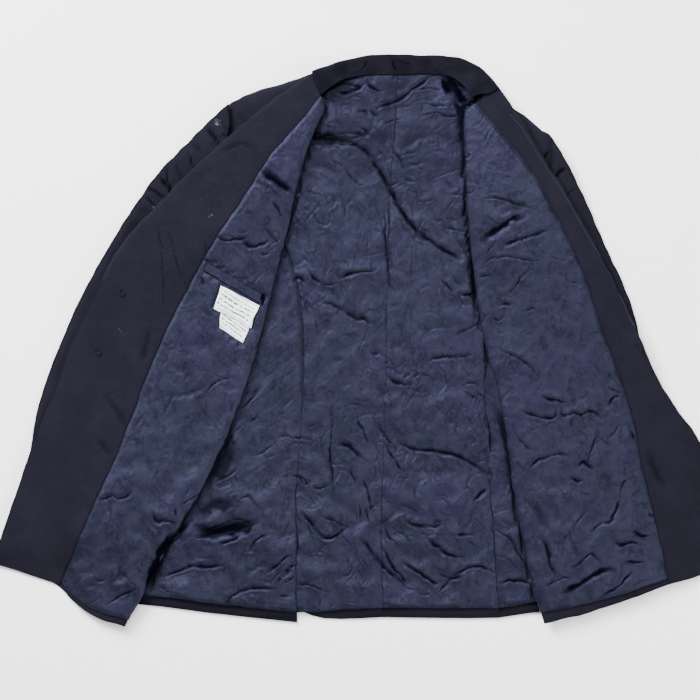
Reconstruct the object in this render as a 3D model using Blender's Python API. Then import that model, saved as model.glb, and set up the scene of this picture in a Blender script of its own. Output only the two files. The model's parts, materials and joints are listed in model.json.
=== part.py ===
"""A fire service dress jacket, laid open on a flat surface with its inside up.

The back lies on the surface. Each front is turned back over the side of the body, with its lining
and facing up, and the sleeve lies flat between the two. Left and right are the wearer's, so the
right front is at -X. +Y points to the collar, +Z is up, and the origin is at the centre of the
footprint, on the surface. Sizes in the tables are millimetres; the meshes are metres.

Each cloth piece is a wall built from a grid of points on its middle surface. The pieces are laid
down in the order in which they lie on each other, and each takes its height from the pile below.
"""

from typing import NamedTuple

import bmesh
import bpy
import numpy as np

MM = 0.001

# Cloth
WOOL = 1.6  # thickness of the wool shell and facing
LINING = 1.0  # thickness of the lining
COLLAR = 2.4  # upper collar and undercollar together
GAP = 0.5  # clearance between two pieces that touch
SEAM = 0.5  # clearance between two panels side by side at a seam
STACK_GAP = 0.6  # clearance under a cloth that is laid over the pile

# Construction
SLEEVE_HOLLOW = 3.2  # space between the two layers of a flattened sleeve
LINING_EASE = 3.0  # how far the loose back lining stands off the shell
FOLD_RISE = 7.0  # least height of the rounded fold where a front turns back
FOLD_BULGE = 5.0  # how far that fold reaches towards the centre of the jacket
FOLD_SPREAD = 30.0  # how far out over the flap that height fades
SIDE_WALL = 3.0  # width of the rounded edge at the side and shoulder seams
SHELL_INSET = 6.5  # the side panel's edge, inside the side line
LINING_INSET = 9.5  # its lining's edge
FALL_WIDTH = 42.0  # collar fall, under the neck
ROLL_BULGE = 3.0  # how far a lapel's or the collar's roll reaches past the flat cloth
LAPEL_LEAST = 12.0  # a lapel narrower than this is not rolled
HEM_TURN_ROWS = 2  # rows of the body that are double, where the hem is turned up
LINING_SHORT = 14.0  # how far the body's lining ends above the hem
HEM_STRIP = 0.3  # the same on the fronts, as a share of their last station
BUTTON_RADIUS = 11.0
BUTTON_PROFILE = (  # (share of the radius, height), from the dome's top face to the shank
    (0.45, 0.0),
    (0.85, 1.2),
    (1.0, 2.6),
    (1.0, 3.4),
    (0.3, 3.6),
    (0.25, 5.0),
)
RING_RADIUS = 4.2  # retaining ring on a button's shank
RING_WIRE = 0.7

# Grids
UPPER_ROWS = 9  # of a back panel, from the neck to the underarm
LOWER_ROWS = 13  # of a back or side panel, from the underarm to the hem
LINING_UPPER_ROWS = 9
LINING_LOWER_ROWS = 20
BACK_COLUMNS = 7
SIDE_COLUMNS = 5
LINING_BACK_COLUMNS = 8
LINING_SIDE_COLUMNS = 6
FRONT_ROWS = 26
COLLAR_ROWS = 13
SLEEVE_RINGS = 13
SLEEVE_COLUMNS = 7
SLEEVE_HEAD = 4  # rings that the armhole's curve bends
ROUND_SIDES = 20
WIRE_SIDES = 6
FLAP_FACET = 31.0  # half the size of the flaps' facets
COLLAR_FACET = 14.0  # the same of the collar's
COLLAR_SOFTEN = 4.0  # how softly the collar follows the pile
SHARP_ANGLE = 50  # degrees; an edge that turns more is shaded sharp
NECK_LAP = 2.0  # how far the back goes under the collar's stand
CELL = 4.0  # spacing of the height map
PILE_HALF = (580, 450)  # half of its width and depth


class FrontStation(NamedTuple):
    """One section of a front, from the neck down: where each of its lines lies on the surface."""

    edge: tuple  # lapel roll, and lower down the front edge
    seam: tuple  # seam of facing and lining
    fold: tuple  # inner fold, where the front turns back
    side: tuple  # shoulder seam, armhole and side seam
    lapel: float  # width of the lapel that is rolled under at the edge


RIGHT_FRONT = (
    FrontStation((-69, 369), (-61, 338), (-58, 333), (-72, 370), 30),
    FrontStation((-110, 343), (-82, 313), (-68, 309), (-109, 358), 40),
    FrontStation((-152, 310), (-108, 282), (-80, 282), (-148, 346), 48),
    FrontStation((-198, 270), (-139, 243), (-92, 246), (-187, 330), 50),
    FrontStation((-243, 229), (-163, 202), (-104, 202), (-188, 278), 48),
    FrontStation((-285, 186), (-191, 163), (-111, 163), (-188, 222), 44),
    FrontStation((-331, 138), (-216, 124), (-120, 124), (-196, 166), 38),
    FrontStation((-360, 89), (-243, 75), (-134, 75), (-217, 107), 24),
    FrontStation((-383, 37), (-265, 33), (-144, 29), (-235, 51), 0),
    FrontStation((-408, -13), (-288, -16), (-156, -16), (-241, -10), 0),
    FrontStation((-430, -75), (-313, -78), (-176, -78), (-246, -78), 0),
    FrontStation((-463, -148), (-338, -149), (-206, -150), (-260, -150), 0),
    FrontStation((-484, -212), (-368, -212), (-234, -212), (-279, -212), 0),
    FrontStation((-503, -268), (-394, -271), (-268, -268), (-301, -268), 0),
    FrontStation((-513, -296), (-411, -313), (-303, -331), (-330, -320), 0),
    FrontStation((-517, -304), (-418, -330), (-321, -366), (-341, -345), 0),
    FrontStation((-520, -312), (-425, -345), (-339, -399), (-350, -368), 0),
)
LEFT_FRONT = (
    FrontStation((188, 346), (155, 327), (150, 323), (178, 350), 40),
    FrontStation((204, 324), (173, 309), (146, 303), (196, 331), 55),
    FrontStation((226, 289), (197, 281), (149, 277), (224, 312), 68),
    FrontStation((251, 248), (223, 248), (150, 247), (256, 284), 74),
    FrontStation((272, 216), (247, 212), (152, 211), (264, 243), 74),
    FrontStation((299, 172), (271, 170), (153, 172), (260, 194), 72),
    FrontStation((324, 124), (292, 125), (158, 125), (259, 138), 66),
    FrontStation((348, 76), (312, 76), (164, 76), (274, 82), 50),
    FrontStation((368, 37), (327, 34), (172, 31), (293, 37), 28),
    FrontStation((387, -5), (341, -10), (178, -13), (298, -13), 0),
    FrontStation((415, -69), (365, -72), (197, -75), (298, -75), 0),
    FrontStation((453, -118), (379, -128), (206, -128), (304, -128), 0),
    FrontStation((482, -167), (388, -177), (212, -177), (311, -177), 0),
    FrontStation((500, -226), (401, -230), (219, -230), (318, -230), 0),
    FrontStation((513, -282), (415, -286), (232, -289), (322, -289), 0),
    FrontStation((517, -301), (421, -315), (244, -345), (324, -332), 0),
    FrontStation((520, -318), (426, -343), (257, -396), (324, -370), 0),
)


class BackStation(NamedTuple):
    """One section of the body's lower part, from the underarm down to the hem."""

    right_seam: tuple  # seam of the back and the right side panel
    centre: tuple
    left_seam: tuple


BODY = (
    BackStation((-142, 187), (37, 185), (219, 185)),
    BackStation((-107, 128), (34, 124), (190, 130)),
    BackStation((-87, 55), (33, 55), (173, 58)),
    BackStation((-83, -18), (32, -18), (169, -18)),
    BackStation((-86, -90), (30, -90), (170, -90)),
    BackStation((-90, -155), (28, -155), (174, -158)),
    BackStation((-94, -215), (26, -215), (178, -220)),
    BackStation((-94, -275), (26, -275), (183, -278)),
    BackStation((-94, -335), (26, -332), (186, -335)),
    BackStation((-94, -397), (27, -390), (188, -391)),
)
UNDERARM = 7  # the station of both fronts where the side seam meets the armhole


class ShoulderStation(NamedTuple):
    """One section of the back above the underarm, from the neck down."""

    right: tuple  # right shoulder seam and armhole
    centre: tuple
    left: tuple


SHOULDERS = (
    ShoulderStation((-66, 366), (48, 371), (168, 350)),
    ShoulderStation((-107, 354), (47, 346), (190, 331)),
    ShoulderStation((-145, 339), (46, 320), (217, 306)),
    ShoulderStation((-179, 321), (45, 290), (247, 279)),
    ShoulderStation((-184, 275), (42, 250), (259, 255)),
    ShoulderStation((-176, 225), (39, 215), (254, 220)),
    ShoulderStation((-142, 187), (37, 185), (219, 185)),
)
SHOULDER_TIP = 3  # the station of both fronts where the shoulder seam meets the armhole


class SleeveStation(NamedTuple):
    """One ring of a flattened sleeve, from the armhole to the cuff: its two folded edges."""

    outer: tuple
    inner: tuple


RIGHT_SLEEVE = (
    SleeveStation((-193, 326), (-222, 108)),
    SleeveStation((-234, 288), (-237, 88)),
    SleeveStation((-271, 250), (-244, 70)),
    SleeveStation((-300, 218), (-250, 52)),
    SleeveStation((-331, 172), (-255, 32)),
    SleeveStation((-362, 121), (-260, 10)),
    SleeveStation((-390, 71), (-264, -16)),
    SleeveStation((-416, 15), (-271, -50)),
    SleeveStation((-439, -41), (-282, -89)),
    SleeveStation((-458, -93), (-295, -128)),
    SleeveStation((-467, -150), (-307, -167)),
    SleeveStation((-471, -204), (-320, -209)),
    SleeveStation((-474, -257), (-331, -251)),
)
LEFT_SLEEVE = (
    SleeveStation((261, 283), (276, 70)),
    SleeveStation((282, 252), (270, 58)),
    SleeveStation((299, 216), (264, 43)),
    SleeveStation((316, 183), (258, 29)),
    SleeveStation((332, 144), (255, 12)),
    SleeveStation((351, 104), (254, -9)),
    SleeveStation((370, 65), (254, -36)),
    SleeveStation((382, 29), (255, -65)),
    SleeveStation((388, -9), (257, -94)),
    SleeveStation((396, -65), (260, -135)),
    SleeveStation((402, -128), (264, -177)),
    SleeveStation((408, -191), (268, -223)),
    SleeveStation((412, -254), (272, -268)),
    SleeveStation((415, -313), (276, -316)),
)


class CollarStation(NamedTuple):
    """One section of the collar, from the wearer's right round the neck to the left."""

    neck: tuple  # seam of collar and neck
    roll: tuple  # line where the stand rolls over into the fall


COLLAR_LINE = (
    CollarStation((-58, 340), (-68, 372)),
    CollarStation((-50, 348), (-54, 378)),
    CollarStation((-35, 360), (-36, 386)),
    CollarStation((-16, 367), (-16, 392)),
    CollarStation((12, 369), (13, 397)),
    CollarStation((41, 369), (43, 397)),
    CollarStation((69, 369), (66, 395)),
    CollarStation((96, 370), (94, 394)),
    CollarStation((117, 368), (121, 394)),
    CollarStation((132, 361), (145, 390)),
    CollarStation((142, 351), (166, 377)),
    CollarStation((146, 345), (175, 367)),
    CollarStation((150, 335), (185, 354)),
)


class Fold(NamedTuple):
    """A large fold of the lining. A negative height is a trough."""

    start: tuple
    end: tuple
    width: float
    height: float


BACK_FOLDS = (
    Fold((10, 290), (38, 208), 22, -3.0),
    Fold((38, 208), (148, 108), 20, -3.0),
    Fold((-84, 282), (12, 274), 20, -3.0),
    Fold((-70, 300), (20, 296), 20, 4.0),
    Fold((20, 322), (98, 364), 18, -3.0),
    Fold((60, 250), (120, 200), 30, 4.0),
    Fold((-60, 200), (-10, 100), 34, 3.5),
    Fold((47, -140), (174, -188), 22, -3.0),
    Fold((60, -110), (170, -150), 24, 4.0),
    Fold((80, -215), (160, -235), 26, 4.0),
    Fold((0, -282), (56, -344), 22, -3.0),
    Fold((-60, -240), (-20, -330), 30, 3.5),
    Fold((30, -300), (112, -342), 22, -3.0),
)
SIDE_FOLDS = (
    Fold((-262, -328), (-199, -324), 20, -3.0),
    Fold((-250, -290), (-150, -270), 26, 6.0),
    Fold((-225, -230), (-150, -236), 22, 5.0),
    Fold((-240, -355), (-160, -350), 22, 4.0),
    Fold((-150, -325), (-110, -290), 22, 4.0),
    Fold((200, -240), (218, -330), 22, 3.0),
)

# Breast pocket and labels, on the right front's lining, each by its corners in turn
POCKET = ((-217, 106), (-142, 63), (-146, 50), (-223, 93))
LABEL = ((-199, 74), (-145, 46), (-157, 15), (-209, 42))
CARE_LABEL = ((-199, 38), (-158, 20), (-168, -6), (-201, 15))
LABEL_THICKNESS = 0.6
POCKET_THICKNESS = 1.2
PATCH_GAP = 0.5  # clearance between one of these and the lining

# Buttons on the outside of the right front, under its eyelets
BUTTONS = ((-337, 64), (-370, -19))


def smooth(points, at):
    """Points of a Catmull-Rom curve through the named ones. A row counts 1, and at may be a count."""
    points = np.asarray(points, float)
    ends = np.vstack([2 * points[0] - points[1], points, 2 * points[-1] - points[-2]])
    if np.ndim(at) == 0:
        at = np.linspace(0, len(points) - 1, at)
    first = np.minimum(at.astype(int), len(points) - 2)
    t = (at - first)[:, None]
    p0, p1, p2, p3 = (ends[first + k] for k in range(4))
    return 0.5 * (
        2 * p1
        + (p2 - p0) * t
        + (2 * p0 - 5 * p1 + 4 * p2 - p3) * t**2
        + (3 * p1 - p0 - 3 * p2 + p3) * t**3
    )


def column(table, name, at):
    """One named line of a table of stations, as a smooth curve."""
    return smooth([getattr(row, name) for row in table], at)


def between(line_a, line_b, columns, inset_a=0.0, inset_b=0.0):
    """A grid of plan points from one line across to another, kept the insets clear of them."""
    span = np.linalg.norm(line_b - line_a, axis=1)[:, None]
    shares = np.linspace(0, 1, columns)[None, :]
    low, high = inset_a / span, 1 - inset_b / span
    t = (low + (high - low) * shares)[:, :, None]
    return line_a[:, None] * (1 - t) + line_b[:, None] * t


def directions(line_from, line_to):
    """Unit directions from one line's points to another's."""
    step = line_to - line_from
    return step / np.linalg.norm(step, axis=-1, keepdims=True)


def normals(grid, closed=False):
    """Unit normals of a grid of points. A closed grid joins its last column to its first."""
    along = np.gradient(grid, axis=0)
    if closed:
        across = np.roll(grid, -1, axis=1) - np.roll(grid, 1, axis=1)
    else:
        across = np.gradient(grid, axis=1)
    n = np.cross(across, along)
    return n / np.linalg.norm(n, axis=2, keepdims=True)


def upper_side(middle, thickness):
    """The top surface of a cloth, from its middle surface."""
    n = normals(middle)
    up = n if n[:, :, 2].mean() > 0 else -n
    return middle + up * thickness / 2


def box_filter(heights, reach, reduce):
    """A square filter over the height map, one axis after the other."""
    for axis in (0, 1):
        padded = np.pad(heights, [(reach, reach) if a == axis else (0, 0) for a in (0, 1)], "edge")
        size = heights.shape[axis]
        shifted = [np.take(padded, range(k, k + size), axis) for k in range(2 * reach + 1)]
        heights = reduce(shifted, axis=0)
    return heights


def bilinear(values, row, col):
    """Values of a grid at fractional rows and columns."""
    i = np.clip(row.astype(int), 0, values.shape[0] - 2)
    j = np.clip(col.astype(int), 0, values.shape[1] - 2)
    u, v = row - i, col - j
    if values.ndim > row.ndim:
        u, v = u[..., None], v[..., None]
    return (
        values[i, j] * (1 - u) * (1 - v)
        + values[i + 1, j] * u * (1 - v)
        + values[i, j + 1] * (1 - u) * v
        + values[i + 1, j + 1] * u * v
    )


class Pile:
    """Heights of all that has been laid down so far, as a map of square cells."""

    FINE = 12  # points that each facet of a surface gives to the map, each way

    def __init__(self, half_width, half_depth):
        self.low = np.array([-half_width, -half_depth], float)
        size = (-2 * self.low / CELL).astype(int) + 1
        self.top = np.zeros(size)

    def add(self, surface):
        """Raises the pile to a surface, given as a grid of points."""
        rows, columns = surface.shape[:2]
        row, col = np.meshgrid(
            np.linspace(0, rows - 1, (rows - 1) * self.FINE + 1),
            np.linspace(0, columns - 1, (columns - 1) * self.FINE + 1),
            indexing="ij",
        )
        dense = bilinear(surface, row, col).reshape(-1, 3)
        cell = np.rint((dense[:, :2] - self.low) / CELL).astype(int)
        np.maximum.at(self.top, (cell[:, 0], cell[:, 1]), dense[:, 2])

    def height(self, plan, facet, soften):
        """The height of a cloth over the pile: clear of it across each facet, and smooth."""
        soft = int(np.ceil(soften / CELL))
        heights = box_filter(self.top, int(np.ceil(facet / CELL)) + 2 * soft, np.max)
        for _ in range(2):
            heights = box_filter(heights, soft, np.mean)
        place = (plan - self.low) / CELL
        return bilinear(heights, place[..., 0], place[..., 1])

    def lay(self, plan, thickness, facet=22.0, soften=8.0, gap=STACK_GAP):
        """The middle surface of a cloth of that thickness, laid over the pile."""
        base = self.height(plan, facet, soften)
        base = np.where(base > 0, base + gap, 0.0)
        return np.dstack([plan, base + thickness / 2])


def height_on(surface, plan):
    """The height of a gridded surface's triangles at each plan point."""
    a, b, c, d = surface[:-1, :-1], surface[1:, :-1], surface[1:, 1:], surface[:-1, 1:]
    triangles = [np.stack(corners, axis=2).reshape(-1, 3, 3) for corners in ((a, b, c), (a, c, d))]
    origin, u, v = np.moveaxis(np.concatenate(triangles), 1, 0)
    u, v = u - origin, v - origin
    area = u[:, 0] * v[:, 1] - u[:, 1] * v[:, 0]
    heights = np.zeros(plan.shape[:-1])
    for place in np.ndindex(heights.shape):
        w = plan[place] - origin[:, :2]
        s = (w[:, 0] * v[:, 1] - w[:, 1] * v[:, 0]) / area
        t = (u[:, 0] * w[:, 1] - u[:, 1] * w[:, 0]) / area
        inside = (s >= -0.01) & (t >= -0.01) & (s + t <= 1.01)
        heights[place] = (origin[:, 2] + s * u[:, 2] + t * v[:, 2])[inside].max(initial=0.0)
    return heights


class Finish(NamedTuple):
    """The look of one kind of piece."""

    colour: tuple
    roughness: float
    metallic: float = 0.0


WOOL_FINISH = Finish((0.022, 0.022, 0.032), 0.85)
LINING_FINISH = Finish((0.045, 0.05, 0.095), 0.4)
LABEL_FINISH = Finish((0.8, 0.82, 0.84), 0.7)
BUTTON_FINISH = Finish((0.55, 0.42, 0.2), 0.35, 1.0)
RING_FINISH = Finish((0.05, 0.05, 0.06), 0.35, 1.0)


def material(name, finish):
    """A plain Principled material."""
    made = bpy.data.materials.new(name)
    made.use_nodes = True
    shader = made.node_tree.nodes["Principled BSDF"]
    shader.inputs["Base Color"].default_value = (*finish.colour, 1)
    shader.inputs["Roughness"].default_value = finish.roughness
    shader.inputs["Metallic"].default_value = finish.metallic
    return made


def solid(name, vertices, faces, finish):
    """A named object from points in millimetres, with its faces pointing out."""
    used = sorted({index for face in faces for index in face})
    place = {index: k for k, index in enumerate(used)}
    mesh = bpy.data.meshes.new(name)
    mesh.from_pydata(
        [tuple(p) for p in np.asarray(vertices)[used] * MM],
        [],
        [tuple(place[index] for index in face) for face in faces],
    )
    shaped = bmesh.new()
    shaped.from_mesh(mesh)
    bmesh.ops.recalc_face_normals(shaped, faces=shaped.faces)
    shaped.to_mesh(mesh)
    shaped.free()
    mesh.shade_smooth()
    mesh.set_sharp_from_angle(angle=np.radians(SHARP_ANGLE))
    mesh.materials.append(material(name, finish))
    made = bpy.data.objects.new(name, mesh)
    bpy.context.scene.collection.objects.link(made)


def wall(name, middle, thickness, finish, closed=False, out=None, short=None):
    """A cloth wall on both sides of a grid of middle points, closed by a rim.

    The thickness is one number or one for each row. A closed grid is a tube. Where short is
    (rows, columns), only the first of those rows go on past that many columns.
    """
    rows, columns = middle.shape[:2]
    n = normals(middle, closed) if out is None else out
    half = n * np.broadcast_to(thickness, rows)[:, None, None] / 2
    sides = [middle + half, middle - half]
    for side in sides:
        side[:, :, 2] = np.maximum(side[:, :, 2], 0.0)
    long_rows, short_columns = short or (rows, columns)
    cells = [
        (row, col)
        for row in range(rows - 1)
        for col in range(columns if closed else columns - 1)
        if row < long_rows - 1 or col < short_columns - 1
    ]

    def at(side, point):
        return side * rows * columns + point[0] * columns + point[1]

    faces = []
    rim = set()
    for row, col in cells:
        after = (col + 1) % columns
        ring = [(row, col), (row, after), (row + 1, after), (row + 1, col)]
        faces += [tuple(at(side, point) for point in ring) for side in (0, 1)]
        for a, b in zip(ring, ring[1:] + ring[:1]):
            if (b, a) in rim:
                rim.remove((b, a))
            else:
                rim.add((a, b))
    faces += [(at(0, a), at(0, b), at(1, b), at(1, a)) for a, b in sorted(rim)]
    solid(name, np.vstack([side.reshape(-1, 3) for side in sides]), faces, finish)


def folded(plan, folds):
    """How far the large folds lift or lower a loose lining at each point of the plan."""
    lift = np.zeros(plan.shape[:-1])
    for fold in folds:
        start, along = np.array(fold.start), np.subtract(fold.end, fold.start)
        t = np.clip(((plan - start) @ along) / (along @ along), 0, 1)
        away = np.linalg.norm(plan - start - t[..., None] * along, axis=-1)
        lift += fold.height * np.exp(-((away / fold.width) ** 2))
    return np.maximum(lift, -LINING_EASE)


def body_plans(upper_rows, lower_rows, columns, side_columns, side_inset, hem_rise):
    """Plan grids of the two back panels and the two side panels, with room at each seam."""
    low = {name: column(BODY, name, lower_rows) for name in BackStation._fields}
    centre = np.vstack([column(SHOULDERS, "centre", upper_rows)[:-1], low["centre"]])
    neck = column(COLLAR_LINE, "neck", COLLAR_ROWS)
    plans = {}
    for side, front in (("right", RIGHT_FRONT), ("left", LEFT_FRONT)):
        seam = low[f"{side}_seam"]
        outer = np.vstack([column(SHOULDERS, side, upper_rows)[:-1], seam])
        back = between(centre, outer, columns, SEAM / 2, SEAM / 2)
        under_collar = np.interp(back[0, :, 0], neck[:, 0], neck[:, 1]) + NECK_LAP
        back[0, :, 1] = np.maximum(back[0, :, 1], under_collar)
        edge = column(front[UNDERARM:], "side", lower_rows)
        edge[:, 0] -= np.sign(edge[:, 0]) * side_inset
        plans[f"back_{side}"] = back
        plans[f"side_{side}"] = between(seam, edge, side_columns, SEAM / 2)
    for plan in plans.values():
        plan[-1, :, 1] += hem_rise
    return plans


def lay_body(pile):
    """The back and side panels on the surface, and the lining over them."""
    shells = []
    plans = body_plans(UPPER_ROWS, LOWER_ROWS, BACK_COLUMNS, SIDE_COLUMNS, SHELL_INSET, 0)
    for name, plan in plans.items():
        thickness = np.full(len(plan), WOOL)
        thickness[-HEM_TURN_ROWS:] *= 2
        middle = pile.lay(plan, WOOL)
        middle[:, :, 2] += (thickness - WOOL)[:, None] / 2
        wall(name, middle, thickness, WOOL_FINISH)
        shells.append(middle + [0, 0, 1] * thickness[:, None, None] / 2)
    for shell in shells:
        pile.add(shell)
    linings = []
    rows = (LINING_UPPER_ROWS, LINING_LOWER_ROWS)
    columns = (LINING_BACK_COLUMNS, LINING_SIDE_COLUMNS)
    plans = body_plans(*rows, *columns, LINING_INSET, LINING_SHORT)
    for name, plan in plans.items():
        middle = pile.lay(plan, LINING, gap=GAP)
        middle[:, :, 2] += LINING_EASE
        middle[:, :, 2] += folded(plan, BACK_FOLDS if name.startswith("back") else SIDE_FOLDS)
        wall(f"lining_{name}", middle, LINING, LINING_FINISH)
        linings.append(middle)
    for middle in linings:
        pile.add(upper_side(middle, LINING))


def roll_over(lower, upper, outwards, bulge, steps):
    """Points round a roll, from the lower cloth's edge to the upper cloth's edge."""
    middle, half = (lower + upper) / 2, (upper - lower) / 2
    turns = []
    for angle in np.radians(np.linspace(-90, 90, steps + 2)[1:-1]):
        point = middle + half * np.sin(angle)
        point[:, :2] += outwards * np.cos(angle) * bulge
        turns.append(point)
    return np.stack(turns, axis=1)


class Front:
    """A turned-back front: its under layer, its fold, its flap and its rolled lapel."""

    UNDER = 4  # columns of each zone, across the front
    TURN = 3
    LINED = 6
    FACED = 4
    ROLL = 2
    LEAF = 2

    def __init__(self, side, table, hem_bow):
        self.side = side
        hem = len(table) - 1
        station = np.append(np.linspace(0, hem - HEM_STRIP, FRONT_ROWS - 1), hem)
        self.edge, self.seam, self.fold, self.side_line = (
            column(table, name, station) for name in ("edge", "seam", "fold", "side")
        )
        self.hem_bow = hem_bow
        self.in_armhole = (station > SHOULDER_TIP) & (station < UNDERARM)
        self.lapel = smooth([(row.lapel, 0) for row in table], station)[:, :1]
        self.rolled = int((self.lapel > LAPEL_LEAST).sum())
        self.bulge = ROLL_BULGE * np.clip(self.lapel / LAPEL_LEAST - 1, 0.1, 1)

    def armhole(self, count):
        """The armhole's line, from the shoulder to the underarm."""
        rows = np.flatnonzero(self.in_armhole)
        return smooth(self.side_line[rows[0] - 1 : rows[-1] + 2], count)

    def lay_under(self, pile):
        """The layer under the flap, with the wool's outside up and its edge down to the seam."""
        plan = between(self.side_line, self.fold, self.UNDER, SIDE_WALL)
        layer = pile.lay(plan, WOOL)
        inwards = directions(self.side_line, self.fold)
        edge = np.column_stack([self.side_line, layer[:, 0, 2]])
        drops = ~self.in_armhole
        edge[drops, :2] += inwards[drops] * WOOL / 2
        edge[drops, 2] = WOOL / 2
        self.under = np.hstack([edge[:, None], layer])
        pile.add(upper_side(layer, WOOL))

    def lay_lapel(self, pile):
        """The lapel, rolled under the flap: wool facing below, wool shell above."""
        edge = self.edge[: self.rolled]
        inwards = directions(edge, self.fold[: self.rolled])
        width = self.lapel[: self.rolled]
        plan = between(edge + inwards * width, edge + inwards * ROLL_BULGE, self.LEAF + 1)
        self.leaf = pile.lay(plan, WOOL, gap=STACK_GAP + WOOL + GAP)
        pile.add(upper_side(self.leaf, WOOL))

    def lay_flap(self, pile):
        """The flap, from the fold out to the edge, over everything else."""
        edge = self.edge.copy()
        inwards = directions(edge, self.fold)
        edge[: self.rolled] += (inwards * self.bulge)[: self.rolled]
        lined = between(self.fold, self.seam, self.LINED)
        share = np.linspace(0, 1, self.LINED)
        down = directions(self.seam[-2], self.seam[-1])
        lined[-2:] += down * (4 * share * (1 - share) * self.hem_bow)[:, None]
        plan = np.hstack([lined, between(self.seam, edge, self.FACED + 1)[:, 1:]])
        flap = pile.lay(plan, WOOL, facet=FLAP_FACET)
        away = np.linalg.norm(plan - self.fold[:, None], axis=2)
        short = np.maximum(self.under[:, -1, 2] + FOLD_RISE - flap[:, 0, 2], 0)[:, None]
        flap[:, :, 2] += short * np.exp(-((away / FOLD_SPREAD) ** 2))
        self.flap = flap

    def build(self):
        """The front's wool, its facing and its lining. Returns the tops of the last two."""
        inwards = directions((self.edge + self.side_line) / 2, self.fold)
        turn = roll_over(self.under[:, -1], self.flap[:, 0], inwards, FOLD_BULGE, self.TURN)
        outwards = directions(self.fold, self.edge)[: self.rolled]
        bulge = self.bulge[: self.rolled]
        flap_edge = self.flap[: self.rolled, -1]
        roll = roll_over(self.leaf[:, -1], flap_edge, outwards, bulge, self.ROLL)
        panel = np.hstack([self.under, turn, self.flap])
        columns = panel.shape[1]
        extra = self.ROLL + self.LEAF + 1
        whole = np.hstack([panel, np.repeat(panel[:, -1:], extra, axis=1)])
        whole[: self.rolled, columns:] = np.hstack([roll[:, ::-1], self.leaf[:, ::-1]])
        out = np.zeros_like(whole)
        out[:, :columns] = normals(panel)
        out[: self.rolled] = normals(whole[: self.rolled])
        if out[:, columns - 1, 2].mean() < 0:
            out = -out
        shape = (self.rolled, columns)
        wall(f"front_{self.side}", whole, WOOL, WOOL_FINISH, out=out, short=shape)

        seam = columns - self.FACED - 1
        facing = (whole + out * (WOOL + GAP))[:, seam:]
        facing[:, 0] += directions(facing[:, 0], facing[:, 1]) * SEAM / 2
        shape = (self.rolled, columns - seam)
        wall(f"facing_{self.side}", facing, WOOL, WOOL_FINISH, out=out[:, seam:], short=shape)

        fold = self.under.shape[1]
        lined = (whole + out * ((WOOL + LINING) / 2 + GAP))[:, fold : seam + 1]
        lined[:, -1] += directions(lined[:, -1], lined[:, -2]) * SEAM / 2
        lined = lined[:-1]
        lined_out = out[:-1, fold : seam + 1]
        wall(f"lining_front_{self.side}", lined, LINING, LINING_FINISH, out=lined_out)
        faced_top = upper_side(facing[:, : shape[1]], WOOL)
        return faced_top, upper_side(lined[:, self.TURN :], LINING)


def build_sleeve(name, table, armhole, pile):
    """A flattened tube, from the armhole to the cuff."""
    outer = column(table, "outer", SLEEVE_RINGS)
    inner = column(table, "inner", SLEEVE_RINGS)
    across = directions(outer, inner)
    half_turn = (SLEEVE_HOLLOW + WOOL) / 2
    inset = half_turn + WOOL / 2
    flat = between(outer, inner, SLEEVE_COLUMNS, inset, inset)
    # The head of the sleeve follows the armhole, and the next rings less and less.
    shift = smooth(armhole, SLEEVE_COLUMNS) - flat[0]
    for ring in range(SLEEVE_HEAD):
        flat[ring, 1:-1] += shift[1:-1] * (1 - ring / SLEEVE_HEAD) ** 2
    lower = pile.lay(flat, WOOL)
    upper = lower + [0, 0, SLEEVE_HOLLOW + WOOL]
    first = roll_over(lower[:, 0], upper[:, 0], -across, half_turn, 1)
    last = roll_over(lower[:, -1], upper[:, -1], across, half_turn, 1)
    ring = np.hstack([lower, last, upper[:, ::-1], first])
    wall(name, ring, WOOL, WOOL_FINISH, closed=True)
    pile.add(upper_side(upper, WOOL))


def lay_collar_fall(pile):
    """The part of the collar that is rolled under the neck, on the surface."""
    neck = column(COLLAR_LINE, "neck", COLLAR_ROWS)
    roll = column(COLLAR_LINE, "roll", COLLAR_ROWS)
    inwards = directions(roll, neck)
    plan = between(roll + inwards * ROLL_BULGE, roll + inwards * FALL_WIDTH, 3)
    middle = pile.lay(plan, COLLAR)
    pile.add(upper_side(middle, COLLAR))
    return middle


def build_collar(fall, pile):
    """The stand, over the neck, rolled over into the fall below."""
    neck = column(COLLAR_LINE, "neck", COLLAR_ROWS)
    roll = column(COLLAR_LINE, "roll", COLLAR_ROWS)
    outwards = directions(neck, roll)
    plan = between(neck, roll - outwards * ROLL_BULGE, 4)
    stand = pile.lay(plan, COLLAR, facet=COLLAR_FACET, soften=COLLAR_SOFTEN)
    turn = roll_over(fall[:, 0], stand[:, -1], outwards, ROLL_BULGE, 2)
    wall("collar", np.hstack([stand, turn[:, ::-1], fall]), COLLAR, WOOL_FINISH)


def patch(name, corners, surface, thickness, finish, columns, rows, gap=PATCH_GAP):
    """A small flat piece on a surface, from its four corners in turn."""
    a, b, c, d = (np.array(corner, float) for corner in corners)
    u = np.linspace(0, 1, columns)[None, :, None]
    v = np.linspace(0, 1, rows)[:, None, None]
    plan = (a * (1 - u) + b * u) * (1 - v) + (d * (1 - u) + c * u) * v
    middle = np.dstack([plan, height_on(surface, plan) + gap + thickness / 2])
    wall(name, middle, thickness, finish)


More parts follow.
